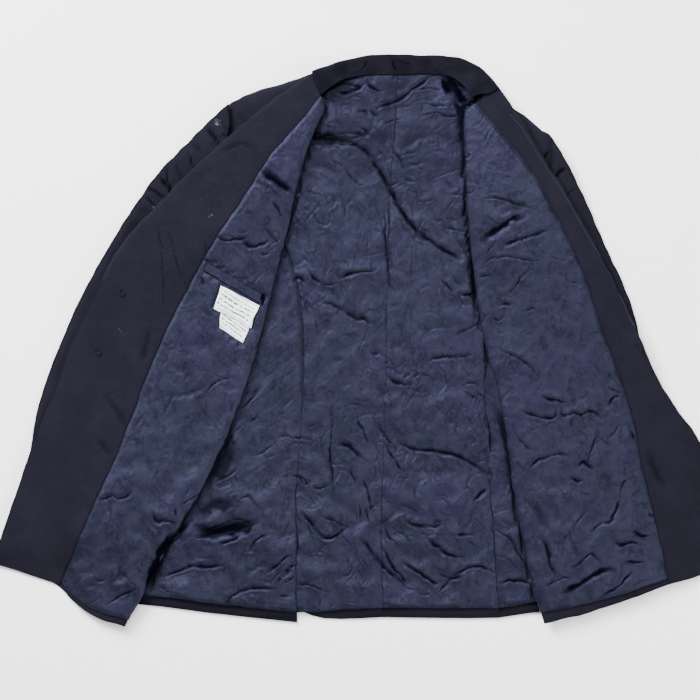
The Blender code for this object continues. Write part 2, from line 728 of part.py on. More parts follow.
def turned(name, centre, profile, finish):
    """A round piece about the vertical line through centre, from (radius, height) rows."""
    angle = np.arange(ROUND_SIDES) * 2 * np.pi / ROUND_SIDES
    rings = [
        np.stack([centre[0] + radius * np.cos(angle), centre[1] + radius * np.sin(angle),
                  np.full(ROUND_SIDES, height)], axis=1)
        for radius, height in profile
    ]
    last = (len(profile) - 1) * ROUND_SIDES
    faces = [tuple(range(ROUND_SIDES)), tuple(range(last, last + ROUND_SIDES))]
    for base in range(0, last, ROUND_SIDES):
        for k in range(ROUND_SIDES):
            after = (k + 1) % ROUND_SIDES
            faces.append(tuple(base + step for step in (k, after, after + ROUND_SIDES, k + ROUND_SIDES)))
    solid(name, np.vstack(rings), faces, finish)


def build_button(number, centre, pile):
    """A plain domed shank button, face down under the front, on what lies below it."""
    plan = np.array([[centre]], float)
    base = pile.height(plan, BUTTON_RADIUS, CELL)[0, 0] + STACK_GAP
    profile = [(radius * BUTTON_RADIUS, base + height) for radius, height in BUTTON_PROFILE]
    turned(f"button_{number}", centre, profile, BUTTON_FINISH)
    reach = np.linspace(-BUTTON_RADIUS, BUTTON_RADIUS, 3) / 2
    x, y = np.meshgrid(centre[0] + reach, centre[1] + reach, indexing="ij")
    pile.add(np.dstack([x, y, np.full((3, 3), profile[-1][1])]))


def build_ring(number, centre, surface):
    """The retaining ring of a button, flat on the facing."""
    around = np.arange(ROUND_SIDES) * 2 * np.pi / ROUND_SIDES
    wire = np.arange(WIRE_SIDES) * 2 * np.pi / WIRE_SIDES
    radius = RING_RADIUS + RING_WIRE * np.cos(wire)
    plan = np.array(centre) + RING_RADIUS * np.stack([np.cos(around), np.sin(around)], axis=1)
    base = height_on(surface, plan[:, None]).max() + GAP
    vertices = np.stack(
        [
            centre[0] + radius * np.cos(around)[:, None],
            centre[1] + radius * np.sin(around)[:, None],
            np.broadcast_to(base + RING_WIRE * (1 + np.sin(wire)), (ROUND_SIDES, WIRE_SIDES)),
        ],
        axis=2,
    )
    faces = []
    for k in range(ROUND_SIDES):
        here, there = k * WIRE_SIDES, (k + 1) % ROUND_SIDES * WIRE_SIDES
        for m in range(WIRE_SIDES):
            after = (m + 1) % WIRE_SIDES
            faces.append((here + m, there + m, there + after, here + after))
    solid(f"button_ring_{number}", vertices.reshape(-1, 3), faces, RING_FINISH)


def main():
    for old in list(bpy.data.objects):
        bpy.data.objects.remove(old)

    pile = Pile(*PILE_HALF)
    fall = lay_collar_fall(pile)
    lay_body(pile)

    right = Front("right", RIGHT_FRONT, hem_bow=11.0)
    left = Front("left", LEFT_FRONT, hem_bow=4.0)
    for front, table in ((right, RIGHT_SLEEVE), (left, LEFT_SLEEVE)):
        front.lay_under(pile)
        armhole = front.armhole(SLEEVE_COLUMNS)
        build_sleeve(f"sleeve_{front.side}", table, armhole, pile)
    for number, centre in enumerate(BUTTONS, 1):
        build_button(number, centre, pile)
    tops = {}
    for front in (right, left):
        front.lay_lapel(pile)
        front.lay_flap(pile)
        tops[front.side] = front.build()
        for top in tops[front.side]:
            pile.add(top)
    build_collar(fall, pile)

    facing, lined = tops["right"]
    patch("pocket_welt", POCKET, lined, POCKET_THICKNESS, LINING_FINISH, columns=10, rows=4)
    patch("care_label", CARE_LABEL, lined, LABEL_THICKNESS, LABEL_FINISH, columns=5, rows=4)
    over = 2 * PATCH_GAP + LABEL_THICKNESS
    size = {"columns": 6, "rows": 5}
    patch("maker_label", LABEL, lined, LABEL_THICKNESS, LABEL_FINISH, gap=over, **size)
    for number, centre in enumerate(BUTTONS, 1):
        build_ring(number, centre, facing)


main()
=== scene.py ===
# %% [markdown]
# # A fire service dress jacket, laid open
# The jacket lies on its back with its inside up. Its two fronts are turned back, so the satin
# lining and the wool facings show. The frame holds the cut and the layers of the jacket as plain
# walls. This lesson turns each wall into cloth: it is smoothed, made fine where it shows, crumpled
# or creased, and given a woven finish.

# %% Load the frame
import json
import math
from typing import NamedTuple

import bmesh
import bpy
import numpy as np
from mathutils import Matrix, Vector
from mathutils.bvhtree import BVHTree
from mathutils.kdtree import KDTree


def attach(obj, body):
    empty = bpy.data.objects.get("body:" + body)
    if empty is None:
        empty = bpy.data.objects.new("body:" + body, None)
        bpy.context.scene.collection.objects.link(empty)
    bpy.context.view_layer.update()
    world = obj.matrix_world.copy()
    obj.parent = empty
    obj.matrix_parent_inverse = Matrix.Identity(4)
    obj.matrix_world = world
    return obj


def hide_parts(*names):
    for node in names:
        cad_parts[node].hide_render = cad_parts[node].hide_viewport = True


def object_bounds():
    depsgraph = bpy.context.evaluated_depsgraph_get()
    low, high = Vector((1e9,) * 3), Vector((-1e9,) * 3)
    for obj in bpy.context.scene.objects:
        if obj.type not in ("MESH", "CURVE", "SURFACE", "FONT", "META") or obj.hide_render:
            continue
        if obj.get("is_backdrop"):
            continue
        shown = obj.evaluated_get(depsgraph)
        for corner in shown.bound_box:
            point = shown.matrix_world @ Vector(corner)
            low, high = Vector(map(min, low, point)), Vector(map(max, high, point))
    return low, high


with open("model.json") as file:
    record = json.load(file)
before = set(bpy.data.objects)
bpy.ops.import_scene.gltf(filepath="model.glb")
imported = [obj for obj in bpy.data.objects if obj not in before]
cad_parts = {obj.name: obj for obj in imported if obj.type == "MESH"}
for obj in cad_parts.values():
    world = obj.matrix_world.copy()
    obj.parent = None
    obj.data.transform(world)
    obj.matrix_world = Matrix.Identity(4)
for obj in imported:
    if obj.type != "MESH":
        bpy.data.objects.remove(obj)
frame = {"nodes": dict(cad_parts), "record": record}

MM = 0.001
cad_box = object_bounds()
nodes = frame["nodes"]
print("nodes in the frame:", len(nodes))

# %% [markdown]
# ## Camera and light
# The photograph looks straight down, and 700 pixels of it are 980 mm of the jacket. A camera far
# above with a long lens keeps the raised fronts from spreading outwards. Big soft lights to the
# sides of the camera give satin its broad sheen and leave soft shade in the folds.

# %% Camera
VIEW_WIDTH = 0.98
VIEW_CENTRE = (-0.0189, -0.0161)
CAMERA_HEIGHT = 5.0
SENSOR = 36.0


def in_scene(name, data):
    """A new object with that data, linked to the scene."""
    made = bpy.data.objects.new(name, data)
    bpy.context.scene.collection.objects.link(made)
    return made


camera = in_scene("camera", bpy.data.cameras.new("camera"))
camera.data.sensor_width = SENSOR
camera.data.lens = SENSOR * CAMERA_HEIGHT / VIEW_WIDTH
camera.location = (*VIEW_CENTRE, CAMERA_HEIGHT)
bpy.context.scene.camera = camera
print("lens, mm:", round(camera.data.lens, 1))


# %% Lights
class Softbox(NamedTuple):
    """A soft light that looks at the middle of the jacket."""

    place: tuple
    size: float
    watts: float


SOFTBOXES = {
    "key_light": Softbox((-1.6, 2.0, 2.0), 1.6, 420),
    "top_light": Softbox((-0.3, 1.4, 3.4), 1.6, 130),
    "fill_light": Softbox((2.2, -1.4, 1.8), 2.0, 160),
}
WORLD_LIGHT = 0.4

for name, box in SOFTBOXES.items():
    light = in_scene(name, bpy.data.lights.new(name, "AREA"))
    light.data.size = box.size
    light.data.energy = box.watts
    light.location = box.place
    light.rotation_euler = (-Vector(box.place)).to_track_quat("-Z", "Y").to_euler()

world = bpy.data.worlds.new("studio")
world.use_nodes = True
world.node_tree.nodes["Background"].inputs["Color"].default_value = (0.95, 0.97, 1.0, 1)
world.node_tree.nodes["Background"].inputs["Strength"].default_value = WORLD_LIGHT
bpy.context.scene.world = world
print("soft lights:", len(SOFTBOXES))

# %% [markdown]
# ## Shader maths
# A finish is a chain of nodes. Written as Python expressions it reads like a formula: a Value
# wraps one socket, and each operator on it adds a Math node. All other nodes come from one method
# of the finish, which sets the node's options first and then its sockets.


# %% Values and finishes
class Value:
    """A number in a shader, which Python's operators turn into Math nodes."""

    def __init__(self, finish, socket):
        self.finish = finish
        self.socket = socket

    def math(self, operation, *values):
        return self.finish.node("ShaderNodeMath", {"operation": operation}, *values)

    def __add__(self, other):
        return self.math("ADD", self, other)

    def __sub__(self, other):
        return self.math("SUBTRACT", self, other)

    def __rsub__(self, other):
        return self.math("SUBTRACT", other, self)

    def __mul__(self, other):
        return self.math("MULTIPLY", self, other)

    def __pow__(self, other):
        return self.math("POWER", self, other)

    __radd__ = __add__
    __rmul__ = __mul__

    def least(self, other):
        return self.math("MINIMUM", self, other)

    def most(self, other):
        return self.math("MAXIMUM", self, other)

    def sine(self):
        return self.math("SINE", self)

    def size(self):
        return self.math("ABSOLUTE", self)

    def band(self, low, high):
        """0 below low, 1 above high, and smooth between."""
        ends = {"From Min": low, "From Max": high}
        settings = {"interpolation_type": "SMOOTHSTEP"}
        return self.finish.node("ShaderNodeMapRange", settings, Value=self, **ends)


class ClothFinish:
    """One material: a Principled shader and the nodes that feed it."""

    def __init__(self, name, **constants):
        self.material = bpy.data.materials.new(name)
        self.material.use_nodes = True
        self.tree = self.material.node_tree
        self.shader = self.tree.nodes["Principled BSDF"]
        for socket, value in constants.items():
            self.shader.inputs[socket.replace("_", " ")].default_value = value

    def node(self, kind, settings=None, *values, output=0, **sockets):
        """A node of that kind, its options first, then its sockets by order or by name."""
        made = self.tree.nodes.new(kind)
        for option, value in (settings or {}).items():
            setattr(made, option, value)
        for socket, value in [*enumerate(values), *sockets.items()]:
            self.feed(made.inputs[socket], value)
        return Value(self, made.outputs[output])

    def feed(self, socket, value):
        if isinstance(value, Value):
            self.tree.links.new(value.socket, socket)
        else:
            socket.default_value = value

    def place(self):
        """The point on the cloth, in metres."""
        return self.node("ShaderNodeTexCoord", output="Object")

    def stored(self, name, output="Fac"):
        """A number that the mesh keeps at each of its points."""
        return self.node("ShaderNodeAttribute", {"attribute_name": name}, output=output)

    def pushed(self, size, amount):
        """The point on the cloth, moved about by noise, both in metres."""
        place = self.place()
        values = {"Vector": place, "Scale": 1 / size, "Detail": 2.0}
        push = self.node("ShaderNodeTexNoise", None, output=1, **values)
        settings = {"operation": "MULTIPLY_ADD"}
        return self.node("ShaderNodeVectorMath", settings, push, (amount,) * 3, place)

    def folds(self, size, where):
        """How far a point is from the sharp folds between facets of that size, 0 on a fold."""
        values = {"Vector": where, "Scale": 1 / size}
        return self.node("ShaderNodeTexVoronoi", {"feature": "DISTANCE_TO_EDGE"}, **values)

    def planes(self, size, where):
        """A number between 0 and 1 for each of the facets that those folds part."""
        values = {"Vector": where, "Scale": 1 / size}
        return self.node("ShaderNodeTexVoronoi", {"feature": "F1"}, output="Color", **values)

    def turned(self, where, angle, stretch):
        """Those points turned about the upright, and drawn together or apart."""
        values = {"Vector": where, "Rotation": (0, 0, angle), "Scale": stretch}
        return self.node("ShaderNodeMapping", None, **values)

    def noise(self, size, detail=3.0, roughness=0.55, stretch=None):
        """Noise between 0 and 1 whose blots are about that size, in metres."""
        where = self.place()
        if stretch:
            where = self.node("ShaderNodeMapping", None, Vector=where, Scale=stretch)
        values = {"Vector": where, "Scale": 1 / size, "Detail": detail, "Roughness": roughness}
        return self.node("ShaderNodeTexNoise", None, **values)

    def blend(self, share, low, high):
        """A colour between two others."""
        made = self.tree.nodes.new("ShaderNodeMix")
        made.data_type = "RGBA"
        sockets = {socket.identifier: socket for socket in made.inputs}
        self.feed(sockets["Factor_Float"], share)
        self.feed(sockets["A_Color"], low)
        self.feed(sockets["B_Color"], high)
        result = next(s for s in made.outputs if s.identifier == "Result_Color")
        return Value(self, result)

    def bump(self, *layers):
        """Relief from (height, depth in metres) layers, each over the last."""
        normal = None
        for height, depth in layers:
            sockets = {"Height": height, "Distance": depth}
            if normal:
                sockets["Normal"] = normal
            normal = self.node("ShaderNodeBump", None, **sockets)
        self.wear(Normal=normal)

    def darken(self, shade, colour):
        """Shows a dull colour in place of the finish by that share: painted shade, as deep in a crease.
        """
        dull = self.tree.nodes.new("ShaderNodeBsdfPrincipled")
        dull.inputs["Base Color"].default_value = colour
        dull.inputs["Roughness"].default_value = 0.9
        dull.inputs["Specular IOR Level"].default_value = 0.0
        mixed = self.tree.nodes.new("ShaderNodeMixShader")
        self.feed(mixed.inputs["Fac"], shade)
        self.tree.links.new(self.shader.outputs["BSDF"], mixed.inputs[1])
        self.tree.links.new(dull.outputs["BSDF"], mixed.inputs[2])
        end = self.tree.nodes["Material Output"].inputs["Surface"]
        self.tree.links.new(mixed.outputs["Shader"], end)

    def wear(self, **sockets):
        for socket, value in sockets.items():
            self.feed(self.shader.inputs[socket.replace("_", " ")], value)


# %% [markdown]
# ## Finishes
# The shell, facings and collar are navy wool serge: matt, with a short nap and a fine diagonal
# twill. The lining is a navy satin. It is smooth enough to shine, and its colour is painted lighter
# in blots and on some of its facets as a painted sheen; it is a little violet in some places and a
# little green in others. Its creases read almost black, so the mesh stores how much painted shade
# each point takes, most in a crease, and the colour follows it.


# %% Wool serge
def wool_finish():
    wool = ClothFinish("wool", Sheen_Weight=0.01, Sheen_Roughness=0.6, Specular_IOR_Level=0.02)
    cloud = wool.noise(0.045, 4)
    nap = wool.noise(0.0016, 5, 0.7)
    dark, light = (0.0048, 0.0045, 0.0088, 1), (0.0067, 0.0062, 0.0114, 1)
    navy = wool.blend(cloud.band(0.3, 0.75), dark, light)
    wear_and_shade = wool.blend(nap.band(0.42, 0.78) * 0.7, navy, (0.0132, 0.0126, 0.0184, 1))
    wool.wear(Base_Color=wear_and_shade)
    # painted shade: the wool turns a dull near-black by the share that the mesh stores
    wool.darken(wool.stored("painted_shade"), (0.0006, 0.0006, 0.0012, 1))
    wool.wear(Roughness=0.8 + 0.15 * nap)
    settings = {"bands_direction": "DIAGONAL"}
    twill = wool.node("ShaderNodeTexWave", settings, Vector=wool.place(), Scale=520.0, Distortion=0.6)
    wool.bump((twill, 0.00012), (nap, 0.0005), (cloud, 0.0020))
    return wool.material


# %% Satin lining
FACET = 0.017  # size in metres of the flat facets between the satin's small folds


def satin_finish():
    sheen = {"Specular_IOR_Level": 0.17, "Specular_Tint": (0.52, 0.52, 0.98, 1)}
    satin = ClothFinish("satin", **sheen)
    cast = satin.noise(0.09, 3)
    mottle = satin.noise(0.011, 6, 0.66)
    green, violet = (0.0050, 0.0061, 0.0105, 1), (0.0060, 0.0058, 0.0136, 1)
    navy = satin.blend(cast.band(0.4, 0.62), green, violet)
    drawn = satin.turned(satin.pushed(0.02, 0.024), 0.65, (1.4, 0.7, 1.0))
    facets = satin.folds(FACET, drawn)
    plane = satin.planes(FACET, drawn)
    # painted sheen: the colour is lighter in blots and on some of the facets
    share = 0.5 * mottle.band(0.40, 0.66) + 0.38 * plane.band(0.25, 0.8)
    painted_sheen_colour = satin.blend(share, navy, (0.0106, 0.0109, 0.0200, 1))
    painted_shade = satin.stored("painted_shade")
    crisp = satin.noise(0.05, 2).band(0.42, 0.62)
    # painted shade in thin lines along the folds between facets
    line = (1 - facets.band(0.0, 0.05)) * crisp * satin.noise(0.02, 2).band(0.4, 0.6)
    # painted shade in a thin web of crease lines
    web = 1 - 2 * (satin.noise(0.019, 3, 0.6, stretch=(1.0, 0.6, 1.0)) - 0.5).size()
    wear_and_shade = 0.34 * web.band(0.93, 0.985) * satin.noise(0.03, 2).band(0.38, 0.6)
    shade = painted_shade.most(0.4 * line).most(wear_and_shade)
    satin.wear(Base_Color=painted_sheen_colour)
    # painted shade: the satin turns a dull near-black in its creases, along its edges and seams, and on
    # the painted fold lines
    satin.darken(shade, (0.0007, 0.0007, 0.0020, 1))
    satin.wear(Roughness=(0.41 + 0.14 * mottle).most(shade * 0.9))
    fine = satin.noise(0.006, 4, 0.6, stretch=(1.0, 0.7, 1.0))
    crease = 1 - 2 * (satin.noise(0.011, 2, 0.5) - 0.5).size()
    settings = {"bands_direction": "X"}
    rib = satin.node("ShaderNodeTexWave", settings, Vector=satin.place(), Scale=900.0)
    pillow = facets.least(0.35) * (0.3 + 0.7 * crisp)
    satin.bump((rib, 0.00003), (fine, 0.00018), (crease ** 6, 0.00012), (pillow, 0.0009))
    return satin.material


# %% Label, thread and metals
LABEL_LINES = 6


def label_finish():
    label = ClothFinish("label", Sheen_Weight=0.1)
    across, down = label.stored("across"), label.stored("down")
    weave = label.noise(0.0007, 3)
    soil = label.noise(0.012, 3)
    white = label.blend(soil.band(0.35, 0.7), (0.62, 0.69, 0.71, 1), (0.80, 0.86, 0.87, 1))
    line = (down * 2 * math.pi * LABEL_LINES).sine().band(0.15, 0.55)
    words = label.noise(0.0026, 1, 0.5).band(0.42, 0.48)
    inside = across.band(0.1, 0.12) * (1 - across.band(0.86, 0.9))
    inside = inside * down.band(0.20, 0.22) * (1 - down.band(0.86, 0.88))
    edge = across.least(1 - across).least(0.6 * down.least(1 - down))
    frame_line = edge.band(0.030, 0.034) * (1 - edge.band(0.050, 0.054))
    ruled = (line * words * inside).most(0.7 * frame_line)
    label.wear(Base_Color=label.blend(ruled, white, (0.03, 0.033, 0.045, 1)))
    label.wear(Roughness=0.6 + 0.2 * weave)
    label.bump((weave, 0.0002), (soil, 0.0008))
    return label.material


def thread_finish(name, colour, light):
    thread = ClothFinish(name, Sheen_Weight=0.02, Specular_IOR_Level=0.15)
    twist = thread.noise(0.0008, 3)
    thread.wear(Base_Color=thread.blend(twist, colour, light), Roughness=0.55 + 0.3 * twist)
    thread.bump((twist, 0.0002))
    return thread.material


def metal_finish(name, colour, wear_and_shade, roughness):
    metal = ClothFinish(name, Metallic=1.0)
    scuff = metal.noise(0.0015, 4)
    metal.wear(Base_Color=metal.blend(scuff.band(0.35, 0.7), colour, wear_and_shade))
    metal.wear(Roughness=roughness + 0.25 * scuff)
    metal.bump((scuff, 0.00008))
    return metal.material


FINISHES = {
    "wool": wool_finish(),
    "lining": satin_finish(),
    "label": label_finish(),
    "button_metal": metal_finish("brass", (0.52, 0.38, 0.17, 1), (0.30, 0.21, 0.10, 1), 0.28),
    "ring_metal": metal_finish("black_wire", (0.003, 0.003, 0.004, 1), (0.03, 0.03, 0.034, 1), 0.30),
}
THREADS = {
    "navy_thread": ((0.0010, 0.0010, 0.0020, 1), (0.0034, 0.0034, 0.0056, 1)),
    "pale_thread": ((0.015, 0.015, 0.023, 1), (0.036, 0.036, 0.048, 1)),
    "grey_fibre": ((0.05, 0.055, 0.07, 1), (0.16, 0.17, 0.20, 1)),
}
NAVY_THREAD, PALE_THREAD, GREY_FIBRE = (
    thread_finish(name, *colours) for name, colours in THREADS.items()
)
print("finishes:", ", ".join(FINISHES))

# %% [markdown]
# ## From a plain wall to a cloth
# Each wall comes as triangles. Welded and joined back into four-sided faces, it can be smoothed
# with Catmull-Clark subdivision. Its rim has to stay crisp: a rim face is one whose two neighbours
# face opposite ways, and the edges that it shares with them get a crease. The side that shows is
# then cut finer than the hidden one, because only that side needs room for wrinkles.

# %% Weld, square up and crease
WELD = 1e-5
SAME_SHEET = math.radians(40)
CORNER = math.radians(35)  # a rim that turns more than this has a square corner
RIM_WIDTH = 4.5 * MM
RIM_CELL = 2e-5  # a smoothed rim face is smaller than this, in square metres
COVER = 12 * MM  # what lies nearer than this in front of a face hides it
OPPOSITE = -0.9  # the cosine between the normals of a wall's two sides is below this
RAY_GAP = 0.2  # mm from a face at which its search for cover starts
LOOKS_DOWN = -0.3  # a face whose normal points down more than this never shows


def rim_sides(face):
    """The long edges of a narrow face between the two sides of a wall, or None."""
    loops = list(face.loops)
    for first, opposite in ((0, 2), (1, 3)) if len(loops) == 4 else ():
        edges = loops[first].edge, loops[opposite].edge
        beside = [f.normal for edge in edges for f in edge.link_faces if f is not face]
        middles = [(edge.verts[0].co + edge.verts[1].co) / 2 for edge in edges]
        if (middles[0] - middles[1]).length < RIM_WIDTH and len(beside) == 2:
            if beside[0].dot(beside[1]) < OPPOSITE:
                return first, opposite
    return None


def squared_wall(node):
    """The node's mesh with its faces joined into quads and its rim creased."""
    shaped = bmesh.new()
    shaped.from_mesh(nodes[node].data)
    bmesh.ops.remove_doubles(shaped, verts=shaped.verts, dist=WELD)
    limits = {"angle_face_threshold": SAME_SHEET, "angle_shape_threshold": math.pi}
    bmesh.ops.join_triangles(shaped, faces=shaped.faces, **limits)
    crease = shaped.edges.layers.float.new("crease_edge")
    rim = {face: sides for face in shaped.faces if (sides := rim_sides(face))}
    for face, sides in rim.items():
        for side in sides:
            face.loops[side].edge[crease] = 1
        for edge in face.edges:
            if all(f in rim for f in edge.link_faces) and edge.calc_face_angle(0) > CORNER:
                edge[crease] = 1
    return shaped


def smoothed(shaped, name, levels):
    """The subdivided mesh."""
    mesh = bpy.data.meshes.new(name)
    shaped.to_mesh(mesh)
    shaped.free()
    rough = in_scene(name + "_rough", mesh)
    surface = rough.modifiers.new("smooth", "SUBSURF")
    surface.levels = surface.render_levels = levels
    depsgraph = bpy.context.evaluated_depsgraph_get()
    fine = bpy.data.meshes.new_from_object(rough.evaluated_get(depsgraph))
    bpy.data.objects.remove(rough)
    bpy.data.meshes.remove(mesh)
    fine.name = name
    return fine


def tree_of(mesh):
    """A search tree of the mesh's faces."""
    points = [vertex.co for vertex in mesh.vertices]
    return BVHTree.FromPolygons(points, [tuple(face.vertices) for face in mesh.polygons])


class Neighbours:
    """The frame's other walls, to see what lies in front of a face."""

    def __init__(self):
        self.trees = {node: tree_of(part.data) for node, part in nodes.items()}

    def hides(self, node, point, direction):
        start = point + direction * RAY_GAP * MM
        for other, tree in self.trees.items():
            if other != node and tree.ray_cast(start, direction, COVER)[0] is not None:
                return True
        return False


neighbours = Neighbours()
print("walls that can hide each other:", len(neighbours.trees))


# %% Points and stored values of a mesh
def read(mesh, what):
    """The place or the normal of each of the mesh's points."""
    found = np.empty(len(mesh.vertices) * 3, np.float32)
    mesh.vertices.foreach_get(what, found)
    return found.reshape(-1, 3).astype(float)


def points_of(mesh):
    return read(mesh, "co") / MM


def normals_of(mesh):
    return read(mesh, "normal")


def move_points(mesh, points):
    mesh.vertices.foreach_set("co", (points * MM).astype(np.float32).ravel())
    mesh.update()


def store(mesh, name, values):
    made = mesh.attributes.new(name, "FLOAT", "POINT")
    made.data.foreach_set("value", np.asarray(values, np.float32))


def soft_step(share):
    share = np.clip(share, 0, 1)
    return share * share * (3 - 2 * share)


# %% Cut the side that shows finer
SEWN = 1.5 * MM  # a point nearer than this to another lining lies at their seam


class Surface(NamedTuple):
    """What a cloth's laying needs to know of each point of its mesh."""

    up: np.ndarray  # direction of the side that shows
    inside: np.ndarray  # mm from the edge of what shows
    seam: np.ndarray  # mm from a seam with another lining


def reach_from(vertices, shaped):
    """How far each point of the mesh is from the nearest of those vertices, in mm."""
    if not vertices:
        return np.full(len(shaped.verts), COVER / MM)
    tree = KDTree(len(vertices))
    for index, vertex in enumerate(vertices):
        tree.insert(vertex.co, index)
    tree.balance()
    return np.array([tree.find(vertex.co)[2] / MM for vertex in shaped.verts])


def refined(mesh, node, cuts, sewn_to=()):
    """Cuts the mesh's showing faces finer and measures its points."""
    shaped = bmesh.new()
    shaped.from_mesh(mesh)
    shaped.normal_update()
    shown = shaped.faces.layers.int.new("shown")
    narrow = shaped.edges.layers.float["crease_edge"]
    for face in shaped.faces:
        rim = sum(edge[narrow] > 0.5 for edge in face.edges) > 1 and face.calc_area() < RIM_CELL
        if not rim and face.normal.z > LOOKS_DOWN:
            hidden = neighbours.hides(node, face.calc_center_median(), face.normal)
            face[shown] = 0 if hidden else 1
    edges = {edge for face in shaped.faces if face[shown] for edge in face.edges}
    if cuts:
        bmesh.ops.subdivide_edges(shaped, edges=list(edges), cuts=cuts, use_grid_fill=True)
    shaped.normal_update()
    border, seam = set(), set()
    partners = [neighbours.trees[partner] for partner in sewn_to]
    for edge in shaped.edges:
        if len({face[shown] for face in edge.link_faces}) == 2:
            for vertex in edge.verts:
                sewn = any(tree.find_nearest(vertex.co, SEWN)[0] for tree in partners)
                (seam if sewn else border).add(vertex)
    up = np.zeros((len(shaped.verts), 3))
    visible = np.zeros(len(shaped.verts), bool)
    for index, vertex in enumerate(shaped.verts):
        seen = [face.normal for face in vertex.link_faces if face[shown]]
        visible[index] = bool(seen)
        up[index] = sum(seen, Vector()).normalized() if seen else vertex.normal
    inside = np.where(visible, reach_from(border, shaped), 0.0)
    between = np.where(visible, reach_from(seam, shaped), COVER / MM)
    shaped.to_mesh(mesh)
    shaped.free()
    return Surface(up, inside, between)


# %% [markdown]
# ## Wrinkles
# Satin that has been worn and packed crumples: it breaks into small facets between sharp ridges.
# Folded noise gives them. Where smooth noise crosses zero, its absolute value has a sharp crease,
# and bending the plan with more noise keeps the creases from looking regular. Long creases and
# tucks are listed one by one, because they give this jacket its own look.


# %% Noise
def noise(plan, cell, seed):
    """Smooth noise between about -1 and 1, with one hill or hollow in each cell."""
    side = 64  # cells before the noise repeats
    turn = np.random.default_rng(seed).uniform(0, 2 * np.pi, (side, side))
    place = plan / cell
    corner = np.floor(place).astype(int)
    inside = place - corner
    ease = soft_step(inside)
    total = 0.0
    for i in (0, 1):
        for j in (0, 1):
            angle = turn[(corner[:, 0] + i) % side, (corner[:, 1] + j) % side]
            slope = (inside[:, 0] - i) * np.cos(angle) + (inside[:, 1] - j) * np.sin(angle)
            share_x = ease[:, 0] if i else 1 - ease[:, 0]
            share_y = ease[:, 1] if j else 1 - ease[:, 1]
            total = total + slope * share_x * share_y
    return total * 1.5


def bent(plan, cell, amount, seed):
    """The plan pushed about by noise."""
    return plan + amount * np.stack([noise(plan, cell, seed), noise(plan, cell, seed + 1)], axis=1)


def crumpled(plan, cell, seed):
    """Facets of about that size between sharp ridges, from -1 to 1."""
    pushed = bent(plan, cell * 1.7, cell * 0.8, seed + 10)
    return 1 - 2.4 * np.abs(noise(pushed, cell, seed))


# %% [markdown]
# ### A crumple from a cloth simulation
# Noise alone looks like rock. A real crumple comes from cloth that is a little too large for its
# place: it buckles into ridges that meet in points. So a flat sheet is held at its edges, tied
# softly to its place everywhere else, and grown by a few hundredths in Blender's cloth simulation.
# How far each point of the sheet has moved then moves the lining's points. The simulation works at
# ten times the real size, where its settings behave well.


# %% Simulated crumple
class Crumple:
    """How far the points of a crumpled sheet have moved, over a rectangle of the plan."""

    CELL = 4.5
    SCALE = 10.0
    FRAMES = 32
    GROWTH = 0.02

    def __init__(self, low, high, seed):
        self.low = np.array(low, float)
        size = ((np.array(high) - self.low) / self.CELL).astype(int) + 1
        grid = np.stack(np.meshgrid(*[np.arange(n) for n in size], indexing="ij"), axis=2)
        plan = self.low + grid.reshape(-1, 2) * self.CELL
        start = 0.9 * noise(plan, 26, seed) + 0.8 * noise(plan, 60, seed + 1)
        rest = np.column_stack([plan, start])
        moved = self.settle(rest, size)
        self.moved = (moved - np.column_stack([plan, np.zeros(len(plan))])).reshape(*size, 3)

    def settle(self, rest, size):
        """Runs the cloth simulation on the sheet and returns its points."""
        index = np.arange(len(rest)).reshape(size)
        faces = np.stack([index[:-1, :-1], index[1:, :-1], index[1:, 1:], index[:-1, 1:]], axis=2)
        mesh = bpy.data.meshes.new("sheet")
        points = [tuple(point) for point in rest * MM * self.SCALE]
        mesh.from_pydata(points, [], [tuple(face) for face in faces.reshape(-1, 4).tolist()])
        sheet = in_scene("sheet", mesh)
        edge = np.ones(size, bool)
        edge[1:-1, 1:-1] = False
        held = sheet.vertex_groups.new(name="held")
        held.add(index[edge].tolist(), 1.0, "REPLACE")
        held.add(index[~edge].tolist(), 0.3, "REPLACE")
        cloth = sheet.modifiers.new("cloth", "CLOTH")
        settings = cloth.settings
        settings.vertex_group_mass = "held"
        settings.pin_stiffness = 0.3
        settings.mass = 0.15
        settings.bending_stiffness = 4
        settings.air_damping = 3
        settings.shrink_min = -self.GROWTH
        settings.effector_weights.gravity = 0
        cloth.collision_settings.use_collision = False
        cloth.point_cache.frame_start = 1
        cloth.point_cache.frame_end = self.FRAMES
        for number in range(1, self.FRAMES + 1):
            bpy.context.scene.frame_set(number)
        settled = sheet.evaluated_get(bpy.context.evaluated_depsgraph_get()).to_mesh()
        points = points_of(settled) / self.SCALE
        bpy.data.objects.remove(sheet)
        bpy.context.scene.frame_set(1)
        return points

    def at(self, plan):
        """How far each point of the plan moves, as a smooth curve through the sheet's points."""
        place = (plan - self.low) / self.CELL
        last = np.array(self.moved.shape[:2]) - 3
        first = np.clip(np.floor(place).astype(int), 1, last)
        t = np.clip(place - first, 0, 1)
        weights = 0.5 * np.stack([
            -t + 2 * t**2 - t**3, 2 - 5 * t**2 + 3 * t**3, t + 4 * t**2 - 3 * t**3, t**3 - t**2
        ])
        total = np.zeros((len(plan), 3))
        for i in range(4):
            for j in range(4):
                share = (weights[i, :, 0] * weights[j, :, 1])[:, None]
                total += share * self.moved[first[:, 0] + i - 1, first[:, 1] + j - 1]
        return total


CRUMPLES = {
    "body": Crumple((-352, -402), (330, 388), 31),
    "right": Crumple((-430, -400), (-50, 345), 33),
    "left": Crumple((142, -400), (432, 335), 34),
}
for name, crumple in CRUMPLES.items():
    rise = crumple.moved[..., 2]
    print(f"{name} crumple: {rise.size} points, {rise.min():.1f} to {rise.max():.1f} mm")


# %% Creases listed one by one
class Crease(NamedTuple):
    """A crease in the cloth, along points in millimetres."""

    points: list
    width: float  # mm from its line over which it fades
    depth: float  # mm
    dark: float  # how dark its painted shade is, from 0 to 1
